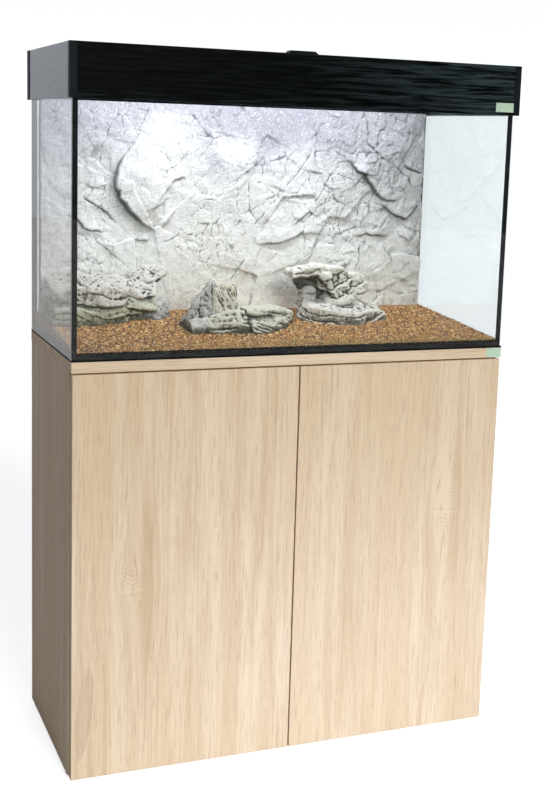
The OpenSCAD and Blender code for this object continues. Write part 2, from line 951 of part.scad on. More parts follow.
module rear_hinge_leaves() {
    color([0.2, 0.2, 0.2]) hinge_leaf([0, 2]);
}

module flap_hinge_leaves() {
    color([0.2, 0.2, 0.2]) mirror([0, 1, 0]) hinge_leaf([1]);
}

module flap_hinge_pins() {
    color("silver") both_sides() rod_x(flap_hinge_x - hinge_long / 2, flap_hinge_x + hinge_long / 2, 0,
        z_top + knuckle_up, flap_pin_d);
}

left_side_panel();
right_side_panel();
bottom_panel();
centre_partition();
top_plate();
back_rails();
back_panel();
shelf();
shelf_pins();
gliders();
cam_fittings();
dowels();
back_panel_screws();
hinge_plates();
hinge_arms();
hinge_arm_pins();
hinge_screws();
latch_housings();
plate_label();
left_door();
left_hinge_cups();
left_hinge_links();
left_plunger();
right_door();
right_hinge_cups();
right_hinge_links();
right_plunger();
foam_mat();
base_pane();
front_pane();
back_pane();
left_pane();
right_pane();
glass_braces();
silicone_seams();
rock_wall();
gravel();
left_rock();
middle_rock();
slab_rock();
right_rock();
cover_front();
cover_back();
cover_left();
cover_right();
corner_profiles();
rim_ledges();
top_battens();
rear_top();
cover_label();
lamp_housing();
lamp_brackets();
led_strip();
lamp_diffuser();
supply_socket();
feeding_flap();
flap_grip();
flap_hinge_leaves();
rear_hinge_leaves();
flap_hinge_pins();
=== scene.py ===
import math

import bmesh
import bpy
import numpy as np
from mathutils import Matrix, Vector
from mathutils.kdtree import KDTree


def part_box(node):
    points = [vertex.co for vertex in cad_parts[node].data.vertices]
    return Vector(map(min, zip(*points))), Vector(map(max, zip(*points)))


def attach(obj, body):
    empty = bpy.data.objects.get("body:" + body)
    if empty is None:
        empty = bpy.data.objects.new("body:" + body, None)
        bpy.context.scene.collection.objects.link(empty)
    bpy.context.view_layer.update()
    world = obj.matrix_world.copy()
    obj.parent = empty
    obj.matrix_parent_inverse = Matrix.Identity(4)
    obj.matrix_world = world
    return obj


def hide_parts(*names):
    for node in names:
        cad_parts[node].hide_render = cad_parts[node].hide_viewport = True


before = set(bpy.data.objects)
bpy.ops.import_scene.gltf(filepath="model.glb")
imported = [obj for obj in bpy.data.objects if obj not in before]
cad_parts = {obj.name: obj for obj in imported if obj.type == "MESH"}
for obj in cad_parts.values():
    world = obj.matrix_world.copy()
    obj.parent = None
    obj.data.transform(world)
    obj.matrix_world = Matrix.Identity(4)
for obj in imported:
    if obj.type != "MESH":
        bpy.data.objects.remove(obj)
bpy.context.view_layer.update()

scene = bpy.context.scene


# ---------- camera ----------
# A short telephoto view from the front left, a little above the rim of the tank. The lens is shifted a
# little, so that the upright edges stay upright.
camera_data = bpy.data.cameras.new("camera")
camera_data.sensor_width = 36
camera_data.lens = 58.4
camera_data.shift_x, camera_data.shift_y = -0.0359, -0.0672
camera_data.clip_start, camera_data.clip_end = 0.05, 60
camera = bpy.data.objects.new("camera", camera_data)
scene.collection.objects.link(camera)
camera.location = (-0.8416, -2.2266, 1.1068)
camera.rotation_mode = "QUATERNION"
camera.rotation_quaternion = (0.7497, 0.6331, -0.1366, -0.1359)
scene.camera = camera
scene.view_settings.view_transform = "Standard"


# ---------- studio ----------
# A white sweep of floor under a pale sky. A broad warm key light shines from the front, a low bluish one
# brightens the foot of the doors, and a weak one lights the back.


def tone(red, green, blue):
    """A colour given as it looks on a screen, 0 to 255, turned to the linear values that shaders take."""
    return tuple(
        c / 255 / 12.92 if c <= 10 else ((c / 255 + 0.055) / 1.055) ** 2.4 for c in (red, green, blue)
    ) + (1.0,)


class Tap:
    """The output of a shader node, with arithmetic: sums with numbers or other taps add Math nodes."""

    def __init__(self, finish, socket):
        self.finish, self.socket = finish, socket

    def math(self, operation, *others):
        return self.finish.sum_of(operation, self, *others)

    def __add__(self, other):
        return self.math("ADD", other)

    def __radd__(self, other):
        return self.finish.sum_of("ADD", other, self)

    def __sub__(self, other):
        return self.math("SUBTRACT", other)

    def __rsub__(self, other):
        return self.finish.sum_of("SUBTRACT", other, self)

    def __mul__(self, other):
        return self.math("MULTIPLY", other)

    def __rmul__(self, other):
        return self.finish.sum_of("MULTIPLY", other, self)

    def __truediv__(self, other):
        return self.math("DIVIDE", other)

    def __pow__(self, other):
        return self.math("POWER", other)

    def step(self, low, high):
        """0 below low, 1 above high, smooth between; low may be the larger one, which turns it round."""
        return self.finish.node(
            "MapRange",
            {"interpolation_type": "SMOOTHSTEP"},
            {0: self, 1: min(low, high), 2: max(low, high), 3: float(low > high), 4: float(low < high)},
        )


class Finish:
    """A material being mixed, or a world. node() adds any shader node: its settings first, then values or
    taps for its sockets."""

    def __init__(self, name, world=None):
        self.material = world or bpy.data.materials.new(name)
        self.material.use_nodes = True
        self.tree = self.material.node_tree
        self.tree.nodes.clear()

    def node(self, kind, settings=None, sockets=None, out=0):
        made = self.tree.nodes.new("ShaderNode" + kind)
        for key, value in (settings or {}).items():
            if key == "stops":
                while len(made.color_ramp.elements) < len(value):
                    made.color_ramp.elements.new(1.0)
                for element, (place, colour) in zip(made.color_ramp.elements, value):
                    element.position, element.color = place, colour
            else:
                setattr(made, key, value)
        for key, value in (sockets or {}).items():
            if isinstance(value, Tap):
                self.tree.links.new(value.socket, made.inputs[key])
            else:
                made.inputs[key].default_value = value
        return Tap(self, made.outputs[out])

    def sum_of(self, operation, *values):
        return self.node("Math", {"operation": operation}, dict(enumerate(values)))

    def place(self, scale=(1, 1, 1), location=(0, 0, 0), rotation=(0, 0, 0)):
        """Object coordinates in metres, scaled and shifted."""
        point = self.node("TexCoord", out=3)
        return self.node("Mapping", {}, {0: point, 1: location, 2: rotation, 3: scale})

    def axes(self):
        """The object's own x, y and z, in metres."""
        split = self.node("SeparateXYZ", {}, {0: self.node("TexCoord", out=3)})
        outs = split.socket.node.outputs
        return [Tap(self, o) for o in outs]

    def noise(self, where, scale, detail=3.0, roughness=0.5, distortion=0.0, out=0):
        return self.node("TexNoise", {}, {
            "Vector": where, "Scale": scale, "Detail": detail, "Roughness": roughness,
            "Distortion": distortion}, out)

    def mix(self, first, second, share, blend="MIX"):
        """Colour first going over to second as share goes from 0 to 1."""
        return self.node("Mix", {"data_type": "RGBA", "blend_type": blend}, {0: share, 6: first, 7: second}, 2)

    def surface(self, **sockets):
        """The Principled BSDF on the output; sockets are named with underscores for spaces."""
        shader = self.node("BsdfPrincipled", {}, {k.replace("_", " "): v for k, v in sockets.items()})
        return self.output(shader)

    def output(self, shader):
        end = self.tree.nodes.new("ShaderNodeOutputMaterial")
        self.tree.links.new(shader.socket, end.inputs[0])
        return self.material


FLOOR_RADIUS, FLOOR_SIDES = 14, 64
floor_mesh = bpy.data.meshes.new("floor")
turns = [2 * math.pi * k / FLOOR_SIDES for k in range(FLOOR_SIDES)]
floor_rim = [(FLOOR_RADIUS * math.cos(turn), FLOOR_RADIUS * math.sin(turn), 0) for turn in turns]
floor_mesh.from_pydata(floor_rim, [], [list(range(FLOOR_SIDES))])
floor = bpy.data.objects.new("floor", floor_mesh)
scene.collection.objects.link(floor)
floor_paint = Finish("floor_paint")
matt = floor_paint.node("BsdfDiffuse", {}, {"Color": tone(243, 244, 247)})
# The floor glows where it is seen, and a little behind the object where it is mirrored, but lights nothing
# by that.
seen_glow, mirrored_glow = (
    floor_paint.node("Emission", {}, {"Color": (0.97, 0.98, 1.0, 1.0), "Strength": strength})
    for strength in (0.81, 0.13))
behind = floor_paint.axes()[1].step(-0.5, 0.5)
mirrored_glow = floor_paint.node("MixShader", {}, {0: behind, 2: mirrored_glow})
seen = floor_paint.node("LightPath")
lighting = floor_paint.node("LightPath", out=2)
glow = floor_paint.node("MixShader", {}, {0: seen, 1: mirrored_glow, 2: seen_glow})
glow = floor_paint.node("MixShader", {}, {0: lighting, 1: glow})
floor_mesh.materials.append(floor_paint.output(floor_paint.node("AddShader", {}, {0: matt, 1: glow})))

scene.world = bpy.data.worlds.new("studio")
sky = Finish("studio", scene.world)
fill = sky.node("Background", {}, {"Color": (1.0, 0.95, 0.93, 1.0), "Strength": 0.05})
# Mirrored in the object, the room is dim in front and grows brighter towards the white sweep behind.
ray_way = sky.node("SeparateXYZ", {}, {0: sky.node("TexCoord")})
way_y, way_z = (Tap(sky, ray_way.socket.node.outputs[k]) for k in (1, 2))
seen_sky = sky.node("Background", {}, {
    "Color": (0.99, 1.0, 0.995, 1.0), "Strength": 1.0 + 0.10 * way_z.step(0.09, -0.01)})
brightness = (way_y + 1.0).math("MINIMUM", 1.0) * (0.56 + 0.22 * way_z.step(-0.02, 0.12)) + 0.01
mirrored_sky = sky.node("Background", {}, {"Color": (0.90, 0.96, 1.04, 1.0), "Strength": brightness})
whole_sky = sky.node("MixShader", {}, {0: sky.node("LightPath"), 1: mirrored_sky, 2: seen_sky})
whole_sky = sky.node("MixShader", {}, {0: sky.node("LightPath", out=2), 1: whole_sky, 2: fill})
sky.tree.links.new(whole_sky.socket, sky.tree.nodes.new("ShaderNodeOutputWorld").inputs[0])


def add_light(name, kind, energy, colour, location=(0, 0, 0), heading=None, **settings):
    """Adds a light. It shines straight down, or along heading."""
    data = bpy.data.lights.new(name, kind)
    data.energy, data.color = energy, colour
    for key, value in settings.items():
        setattr(data, key, value)
    made = bpy.data.objects.new(name, data)
    scene.collection.objects.link(made)
    made.location = location
    if heading:
        made.rotation_mode = "QUATERNION"
        made.rotation_quaternion = Vector(heading).to_track_quat("-Z", "Y")
    return made


add_light("key", "SUN", 1.88, (1.0, 0.965, 0.885), heading=(-0.15, 1.0, -0.42), angle=math.radians(26))
add_light("rear_fill", "SUN", 0.55, (1.0, 1.0, 1.0), heading=(-0.5, -1.0, -0.45), angle=math.radians(40))
tilt = math.radians(84)
low_fill = add_light("low_fill", "AREA", 2.9, (0.80, 0.93, 1.20), (0.30, -0.75, 0.08),
                     (0, math.sin(tilt), -math.cos(tilt)), shape="RECTANGLE", size=1.4, size_y=0.3)
low_fill.visible_camera = low_fill.visible_glossy = False


# ---------- oak-look boards ----------
# Chipboard faced with melamine paper printed as pale rough-sawn oak, with matching tape glued on the edges.
# Sides, partition and doors have the grain upright; plate, bottom, shelf and rails have it lengthways.


def oak(name, along, shift, knots=(), wedge=None, saw_marks=0.5):
    """The oak print. along is the grain's axis, shift moves the pattern, knots are (x, z) places on
    a door's front, with the way their arcs open, and wedge is the (x, z) of a spindle-shaped scar."""
    finish = Finish(name)
    axes = finish.axes()
    across = axes[0] if along == 2 else axes[2]
    run = axes[along]
    for knot_x, knot_z, way in knots:
        # The grain swings out round a knot and closes again above and below it.
        dx, dz = (across - knot_x) / 0.030, (run - knot_z) / 0.075
        swing = ((dx * dx + dz * dz) * -0.7).math("EXPONENT")
        across = across - 0.020 * dx * swing
    stretch = 0.05
    flow = finish.node("CombineXYZ", {}, {
        0: across + shift[0], 1: axes[1] + shift[1], 2: run * stretch + shift[2]})
    fine_flow = finish.node("CombineXYZ", {}, {0: across + shift[0], 1: axes[1], 2: run * 0.03 + shift[2]})
    wander = finish.noise(flow, 11, 2, 0.5)
    bands = finish.noise(flow, 26, 3, 0.6, 0.4)
    streaks = finish.noise(fine_flow, 240, 4, 0.65, 0.6)
    lines = finish.noise(fine_flow, 75, 3, 0.6)
    pores = finish.noise(fine_flow, 900, 2, 0.5)
    colour = finish.mix(tone(224, 199, 168), tone(240, 221, 194), bands.step(0.36, 0.60))
    colour = finish.mix(colour, tone(231, 207, 176), wander.step(0.44, 0.62) * 0.85)
    colour = finish.mix(colour, tone(204, 171, 136), lines.step(0.55, 0.70) * 0.34)
    colour = finish.mix(colour, tone(196, 162, 126), streaks.step(0.54, 0.72) * 0.45)
    colour = finish.mix(colour, tone(248, 232, 208), streaks.step(0.46, 0.30) * 0.45)
    colour = finish.mix(colour, tone(168, 134, 100), pores.step(0.57, 0.70) * 0.42)
    # Saw marks: fine pale lines across the grain, slightly arced, in patches.
    patches = finish.node("CombineXYZ", {}, {0: axes[0] + shift[1], 1: 3.1, 2: axes[2] * 0.5 + shift[0]})
    patch = finish.noise(patches, 7.5, 2, 0.5)
    arc = run + 5.0 * (across - 0.1) ** 2.0 * 0.12 + (wander - 0.5) * 0.016 + (bands - 0.5) * 0.004
    broken = finish.noise(finish.place(), 38, 3, 0.6)
    saw = (arc * (6.2832 / 0.0056) + 9.0 * broken).math("SINE") * broken.step(0.38, 0.60)
    sawn = patch.step(0.53, 0.66) * (streaks * 1.6 - 0.2) * saw_marks
    colour = finish.mix(colour, tone(250, 236, 214), saw.step(0.2, 0.95) * sawn * 0.44)
    colour = finish.mix(colour, tone(206, 176, 144), saw.step(-0.2, -0.95) * sawn * 0.36)
    for knot_x, knot_z, way in knots:
        # Below one knot and above the other the grain nests in arcs. A pale line and saw marks cross the knot.
        u, h = (axes[0] - knot_x) / 0.026, way * (axes[2] - knot_z)
        near = (u * u).step(1.8, 0.5)
        f = h - 0.024 * u * u
        arcs = (f * (6.2832 / 0.0075) + 5.0 * streaks + 9.0 * broken).math("SINE")
        nest = f.step(0.0, 0.006) * f.step(0.060, 0.010) * near
        colour = finish.mix(colour, tone(192, 158, 122), arcs.step(0.0, 0.9) * nest * 0.24)
        colour = finish.mix(colour, tone(251, 236, 212), arcs.step(0.0, -0.9) * nest * 0.20)
        column = ((u - 0.95) ** 2.0).step(0.30, 0.02) * (h * h).step(0.030, 0.002) * (0.5 + 0.8 * lines)
        colour = finish.mix(colour, tone(200, 166, 130), column * 0.42)
        tail = (h + 0.055).math("ABSOLUTE").step(0.050, 0.030) * near * (0.3 + streaks)
        colour = finish.mix(colour, tone(250, 234, 208), saw.step(0.2, 0.95) * tail * 0.25)
        colour = finish.mix(colour, tone(204, 172, 138), saw.step(-0.1, -0.95) * tail * 0.20)
        line = (h + 0.004 - 0.002 * u).math("ABSOLUTE").step(0.0026, 0.0008) * (u * u).step(1.1, 0.5)
        colour = finish.mix(colour, tone(255, 243, 222), line * 0.15)
        line = (h + 0.009 - 0.002 * u).math("ABSOLUTE").step(0.0026, 0.0008) * (u * u).step(1.1, 0.5)
        colour = finish.mix(colour, tone(190, 156, 122), line * 0.12)
    if wedge:
        dx, dz = (axes[0] - wedge[0] - 0.10 * (axes[2] - wedge[1])) / 0.014, (axes[2] - wedge[1]) / 0.088
        spindle = (dx * dx + dz * dz + 0.3 * (streaks - 0.5)).step(1.0, 0.75)
        colour = finish.mix(colour, tone(192, 166, 138), spindle * 0.34)
        colour = finish.mix(colour, tone(232, 212, 184), spindle * saw.step(0.1, 0.9) * 0.3)
        rim = (dx * dx + dz * dz).step(1.35, 1.1) * (dx * dx + dz * dz).step(0.85, 1.05) * dx.step(-0.1, 0.4)
        colour = finish.mix(colour, tone(250, 236, 212), rim * 0.22)
    relief = pores * -1.0 + streaks * 0.6
    bump = finish.node("Bump", {}, {"Strength": 0.2, "Distance": 0.0004, "Height": relief})
    return finish.surface(Base_Color=colour, Roughness=0.44 + 0.16 * pores, Normal=bump, Specular_IOR_Level=0.3)


def dress(material, *nodes):
    """Puts the material on CAD nodes."""
    for name in nodes:
        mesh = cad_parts[name].data
        mesh.materials.clear()
        mesh.materials.append(material)


dress(oak("oak_left_door", 2, (0.0, 0.0, 0.0), [(-0.294, 0.336, 1)], (-0.376, 0.121)), "left_door")
dress(oak("oak_right_door", 2, (0.37, 0.6, 0.4), [(0.296, 0.420, -1)]), "right_door")
dress(oak("oak_upright", 2, (0.11, 0.23, 0.9), saw_marks=0.25),
      "left_side_panel", "right_side_panel", "centre_partition")
dress(oak("oak_lengthways", 0, (0.5, 0.0, 0.17), saw_marks=0.1),
      "top_plate", "bottom_panel", "back_rails", "shelf")

# ---------- back panel ----------
# A 3 mm sheet of hardboard, pressed from brown wood fibre, closes the cabinet's back. It is screwed on from
# behind and has two square openings for cables and hoses.
hardboard = Finish("hardboard")
fibre = hardboard.noise(hardboard.place((1.0, 1.0, 0.4)), 420, 4, 0.7, 2.0)
blotch = hardboard.noise(hardboard.place(), 18, 3, 0.6)
colour = hardboard.mix(tone(139, 102, 68), tone(166, 126, 88), blotch.step(0.35, 0.65))
colour = hardboard.mix(colour, tone(104, 72, 46), fibre.step(0.52, 0.70) * 0.6)
felt = hardboard.node("Bump", {}, {"Strength": 0.4, "Distance": 0.0005, "Height": fibre})
dress(hardboard.surface(Base_Color=colour, Roughness=0.55 + 0.2 * fibre, Normal=felt), "back_panel")

# ---------- cabinet fittings ----------
# Nickel-plated steel hinges, screws and shelf pins, zinc cam fittings, beech dowels, grey push latches with
# their plungers, and brown gliders nailed under the panels. They are bought ready made and screwed or
# pressed in.


def fitting(name, light, dark, grain_size, roughness, metallic=0.0, stretch=(1, 1, 1)):
    """A bought-in part's finish: two close colours in streaks or flecks, with the same pattern in its gloss."""
    finish = Finish(name)
    flecks = finish.noise(finish.place(stretch), grain_size, 4, 0.65)
    wear = finish.noise(finish.place(), 45, 3, 0.6)
    colour = finish.mix(light, dark, (0.6 * flecks + 0.4 * wear).step(0.40, 0.64))
    bump = finish.node("Bump", {}, {"Strength": 0.15, "Distance": 0.0003, "Height": flecks})
    return finish.surface(Base_Color=colour, Roughness=roughness - 0.08 + 0.2 * flecks, Metallic=metallic,
                          Normal=bump)


dress(fitting("nickel_steel", tone(205, 204, 200), tone(168, 167, 164), 500, 0.28, 1.0, (0.1, 1, 1)),
      "hinge_plates", "hinge_arms", "hinge_arm_pins", "hinge_screws", "left_hinge_cups", "left_hinge_links",
      "right_hinge_cups", "right_hinge_links", "shelf_pins", "back_panel_screws", "flap_hinge_pins")
dress(fitting("zinc", tone(186, 188, 190), tone(146, 149, 152), 300, 0.42, 1.0), "cam_fittings")
dress(fitting("beech", tone(222, 184, 142), tone(188, 142, 100), 380, 0.6, 0.0, (0.12, 1, 1)), "dowels")
dress(fitting("grey_plastic", tone(158, 160, 162), tone(140, 142, 145), 260, 0.42),
      "latch_housings", "left_plunger", "right_plunger")
dress(fitting("brown_plastic", tone(86, 58, 40), tone(66, 44, 30), 240, 0.5), "gliders")
dress(fitting("label_paper", tone(204, 234, 210), tone(186, 220, 194), 700, 0.5), "plate_label", "cover_label")


# ---------- glass ----------
# Clear float glass with polished edges; the panes are bonded with silicone. Each pane mirrors more at a
# flat angle, and both of its faces are counted on the face that the ray meets first.


def glass(name, tint, spots):
    """Clear glass with a mirroring that grows at flat angles. spots is how strongly dry water spots show."""
    finish = Finish(name)
    clear = finish.node("BsdfTransparent", {}, {"Color": tint})
    shine = finish.node("BsdfGlossy", {}, {"Roughness": 0.0, "Color": (1, 1, 1, 1)})
    haze = finish.node("BsdfDiffuse", {}, {"Color": (0.8, 0.85, 0.9, 1)})
    mirror = finish.node("Fresnel", {}, {"IOR": 1.5})
    inside = finish.node("NewGeometry", out=6)
    both_faces = 2.0 * mirror / (1.0 + mirror) * (1.0 - inside)
    surface = finish.node("MixShader", {}, {0: both_faces, 1: clear, 2: shine})
    dust = finish.noise(finish.place(), 14, 5, 0.6).step(0.45, 0.85) * spots
    return finish.output(finish.node("MixShader", {}, {0: dust, 1: surface, 2: haze}))


dress(glass("pane_glass", (0.963, 0.983, 0.989, 1), 0.02), "front_pane", "back_pane", "left_pane", "right_pane",
      "glass_braces", "base_pane")

# ---------- silicone and foam mat ----------
# Black silicone, tooled flat in the corners. Under the base pane lies a closed-cell foam mat, slightly
# squeezed.
silicone = Finish("black_silicone")
smear = silicone.noise(silicone.place(), 60, 4, 0.6)
soft = silicone.node("Bump", {}, {"Strength": 0.3, "Distance": 0.001, "Height": smear})
dress(silicone.surface(Base_Color=silicone.mix(tone(8, 12, 13), tone(20, 26, 28), smear.step(0.4, 0.7)),
                       Roughness=0.26 + 0.2 * smear, Normal=soft, Specular_IOR_Level=0.12), "silicone_seams")
foam = Finish("black_foam")
cell = foam.node("TexVoronoi", {}, {"Vector": foam.place(), "Scale": 900.0})
pitted = foam.node("Bump", {}, {"Strength": 0.6, "Distance": 0.0006, "Height": cell})
dress(foam.surface(Base_Color=foam.mix(tone(20, 21, 22), tone(9, 9, 10), cell.step(0.2, 0.7)),
                   Roughness=0.8 + 0.15 * cell, Normal=pitted, Specular_IOR_Level=0.1), "foam_mat")


# ---------- rock wall ----------
# A moulded rigid-foam relief of a cracked rock face, bonded to the back pane before the tank is filled. It is
# painted pale grey, with a dark wash in its cracks and hollows that also serves as their painted shade, and
# a dry-brushed top coat of pale flecks. Light is painted on it too: painted shade at its top, at its right
# end and below its raised ledges, painted pools of light on its upper middle, and paler paint low down.


def lattice(points, seed):
    """Smooth random values, 0 to 1, that change over a distance of 1 between the points of an (n, 3) array."""
    table = np.random.default_rng(seed).random(65536)
    cell = np.floor(points).astype(np.int64)
    f = points - cell
    f = f * f * (3 - 2 * f)
    total = 0
    for dx in (0, 1):
        for dy in (0, 1):
            for dz in (0, 1):
                at = (cell[:, 0] + dx) * 73856093 ^ (cell[:, 1] + dy) * 19349663 ^ (cell[:, 2] + dz) * 83492791
                weight = np.abs(1 - dx - f[:, 0]) * np.abs(1 - dy - f[:, 1]) * np.abs(1 - dz - f[:, 2])
                total = total + weight * table[at & 65535]
    return total


def grain(points, size, octaves, seed, ridged=False):
    """Layers of random values, -1 to 1, of the given largest size, each half as wide and high as the last."""
    total, share = 0, 0
    for k in range(octaves):
        layer = 2 * lattice(np.asarray(points) * 2.0**k / size + 17.3 * k, seed + k) - 1
        if ridged:
            layer = 1 - 2 * np.abs(layer)
        total, share = total + layer * 0.5**k, share + 0.5**k
    return total / share


def plates(flat, sites, seed):
    """Splits a flat field of (n, 2) points into cells round the sites. Gives for each point how high its
    randomly tilted cell is there, the distance to the nearest border, and the cell's random number."""
    tree = KDTree(len(sites))
    for k, site in enumerate(sites):
        tree.insert((site[0], site[1], 0), k)
    tree.balance()
    found = [tree.find_n((p[0], p[1], 0), 2) for p in flat]
    first = np.array([f[0][1] for f in found])
    border = np.array([f[1][2] - f[0][2] for f in found])
    rng = np.random.default_rng(seed)
    tilt, level = rng.uniform(-1, 1, (len(sites), 2)), rng.uniform(-1, 1, len(sites))
    away = flat - np.asarray(sites)[first]
    return (away * tilt[first]).sum(1), border, level[first]


def along_crack(flat, path):
    """Signed distance of (n, 2) points to a path, positive on its left, and how far in from the path's ends
    they are."""
    best, signed = np.full(len(flat), 1e9), np.zeros(len(flat))
    inward, walked = np.zeros(len(flat)), 0.0
    whole = sum(math.dist(a, b) for a, b in zip(path, path[1:]))
    for a, b in zip(path, path[1:]):
        step = np.subtract(b, a, dtype=float)
        length = float(np.hypot(*step))
        share = np.clip(((flat - a) @ step) / length**2, 0, 1)
        off = flat - a - share[:, None] * step
        distance = np.hypot(off[:, 0], off[:, 1])
        near = distance < best
        best[near] = distance[near]
        side = step[0] * off[:, 1] - step[1] * off[:, 0]
        signed[near] = np.where(side >= 0, distance, -distance)[near]
        inward[near] = np.minimum(walked + share * length, whole - walked - share * length)[near]
        walked += length
    return signed, inward


def solid_field(top, cols, rows, flatten, shift, middle):
    """Closes a field of (cols + 1) by (rows + 1) points into a solid. Its rim, flattened and shifted, is the
    edge of a flat back, which is a fan round the middle point. The field's own faces come first."""
    tall, count = rows + 1, len(top)
    faces = [(i * tall + j, (i + 1) * tall + j, (i + 1) * tall + j + 1, i * tall + j + 1)
             for i in range(cols) for j in range(rows)]
    rim = [i * tall for i in range(cols)] + [cols * tall + j for j in range(rows)]
    rim += [i * tall + rows for i in range(cols, 0, -1)] + [j for j in range(rows, 0, -1)]
    for k in range(len(rim)):
        after = (k + 1) % len(rim)
        faces.append((rim[k], count + k, count + after, rim[after]))
        faces.append((count + k, count + len(rim), count + after))
    return np.vstack([top, top[rim] * flatten + shift, [middle]]), faces


def mesh_piece(name, points, faces, material, body, stands_for=(), smooth=0):
    """Makes a piece from points in metres and its faces, gives it its finish and hangs it on its body. Only the
    first so many faces are shaded smooth."""
    mesh = bpy.data.meshes.new(name)
    mesh.from_pydata(np.asarray(points).tolist(), [], faces)
    mesh.polygons.foreach_set("use_smooth", np.arange(len(faces)) < smooth)
    mesh.materials.append(material)
    piece = bpy.data.objects.new(name, mesh)
    scene.collection.objects.link(piece)
    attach(piece, body)
    if stands_for:
        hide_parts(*stands_for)
    return piece


def mark(piece, name, values):
    """Stores one number for each point of a piece, for its material to read; points past the values get 0."""
    numbers = np.zeros(len(piece.data.vertices), np.float32)
    numbers[:len(values)] = values
    piece.data.attributes.new(name, "FLOAT", "POINT").data.foreach_set("value", numbers)


# The main cracks: x and z in millimetres from one end to the other, then the groove's depth and half width,
# how far the rock on the crack's left stands out beyond the rock on its right, and how far back from the
# crack that reaches.
CRACKS = [
    ([(-245, 1150), (-246, 1125), (-252, 1118), (-240, 1108)], 3, 2, 2, 30),
    ([(-305, 1145), (-280, 1125), (-260, 1110), (-266, 1090), (-276, 1070), (-280, 1035)], 4, 2, -3, 40),
    ([(-255, 1085), (-262, 1055), (-260, 1030), (-248, 1015)], 3, 2, 3, 30),
    ([(-195, 1105), (-206, 1096), (-220, 1072), (-236, 1055), (-243, 1040), (-250, 1018), (-252, 1000),
      (-242, 980), (-222, 955), (-200, 932), (-168, 915)], 3, 2.5, 15, 110),
    ([(-168, 915), (-152, 932), (-138, 950), (-125, 960)], 3, 2.5, 6, 60),
    ([(-205, 950), (-175, 962), (-158, 972), (-138, 982)], 3, 2, 4, 40),
    ([(-165, 1067), (-162, 1012), (-160, 990), (-158, 952), (-147, 945)], 1.5, 1.2, 1, 30),
    ([(-164, 1053), (-98, 1053)], 1.2, 1.2, 0.5, 20),
    ([(-319, 987), (-300, 970), (-282, 962), (-265, 952), (-253, 938), (-238, 926)], 6, 3.5, 5, 50),
    ([(-345, 950), (-320, 935), (-308, 923), (-294, 917), (-266, 916)], 6, 4, 8, 45),
    ([(-297, 906), (-280, 894), (-256, 876), (-223, 850)], 4, 2.2, 3, 40),
    ([(-214, 907), (-202, 900), (-187, 900), (-180, 911)], 5, 3, 6, 25),
    ([(-180, 1134), (-153, 1126), (-118, 1120), (-92, 1113)], 2, 1.4, 1, 30),
    ([(62, 1088), (40, 1063), (8, 1033), (-35, 1005)], 3, 2, -3, 50),
    ([(52, 1095), (12, 1055), (-12, 1015), (-58, 975)], 3, 2, 2, 50),
    ([(72, 1075), (75, 1053), (79, 1036)], 4, 2.5, 2, 30),
    ([(143, 1145), (146, 1130), (151, 1093), (122, 1044), (81, 992), (44, 954), (23, 925)], 5, 2.2, 4, 70),
    ([(18, 911), (32, 893), (75, 893), (97, 899), (128, 913), (159, 915), (176, 907)], 4, 3.5, 8, 50),
    ([(176, 906), (150, 884), (128, 864), (106, 849), (97, 836)], 3, 2.2, 4, 35),
    ([(126, 1041), (147, 1034), (171, 1028)], 3, 1.8, 3, 40),
    ([(159, 1026), (171, 1009), (187, 1003), (184, 994), (196, 977), (212, 971)], 4, 2, 4, 40),
    ([(80, 992), (94, 977), (106, 951)], 3, 2, 1, 30),
    ([(100, 922), (119, 942), (137, 957), (151, 948), (160, 938)], 4, 3, 7, 30),
    ([(25, 887), (13, 867), (-2, 847), (-20, 818)], 6, 2.5, 4, 50),
    ([(80, 845), (72, 820), (60, 790)], 2, 1.5, 2, 30),
    ([(15, 845), (28, 822), (45, 800)], 2, 1.5, -2, 30),
    ([(245, 1086), (226, 1072), (211, 1072)], 7, 4, 5, 25),
    ([(222, 1072), (229, 1048), (239, 1038), (258, 1029), (275, 1006), (285, 991), (308, 981),
      (337, 977)], 7, 3, 12, 70),
    ([(258, 1150), (260, 1113), (257, 1093), (275, 1081), (288, 1069), (304, 1057),
      (330, 1080)], 4, 2, 4, 40),
    ([(300, 1006), (316, 1030), (332, 1054)], 4, 2, -4, 40),
    ([(338, 1057), (351, 1048), (373, 1040), (389, 1034)], 6, 3.5, 6, 40),
    ([(276, 978), (304, 967), (323, 953), (349, 944), (372, 965), (389, 983)], 7, 3, 9, 50),
    ([(276, 974), (260, 962), (250, 938), (248, 918)], 5, 3, 6, 40),
    ([(317, 953), (304, 935), (281, 911)], 5, 2.5, 5, 40),
    ([(246, 897), (251, 875), (249, 854), (239, 834)], 7, 3, 6, 35),
    ([(330, 925), (342, 911), (358, 899), (383, 925)], 5, 2.5, 6, 35),
    ([(232, 905), (262, 913), (300, 908), (318, 916)], 7, 4, 7, 30),
    ([(300, 895), (315, 872), (330, 852)], 5, 3, -6, 35),
    ([(175, 890), (159, 857)], 3, 1.8, 2, 20),
    ([(204, 893), (206, 874), (196, 845)], 3, 1.8, 3, 25),
    ([(345, 1150), (352, 1110), (340, 1085)], 4, 2, 3, 30),
    ([(316, 826), (340, 824), (372, 812)], 3, 1.8, 3, 30),
]

# The relief is a field of points 2.1 mm apart; flat holds their x and z in millimetres, and relief how far
# each one stands out from the backing.
wall_low, wall_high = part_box("rock_wall")
pitch = 0.0021
backing = 12.0
wall_cols = int((wall_high.x - wall_low.x) / pitch)
wall_rows = int((wall_high.z - wall_low.z) / pitch)
wall_deep = wall_high.y - wall_low.y
gx, gz = np.meshgrid(np.linspace(wall_low.x, wall_high.x, wall_cols + 1),
                     np.linspace(wall_low.z, wall_high.z, wall_rows + 1), indexing="ij")
flat = np.stack([gx.ravel(), gz.ravel()], 1) * 1000
room = np.stack([flat[:, 0], np.zeros(len(flat)), flat[:, 1]], 1)

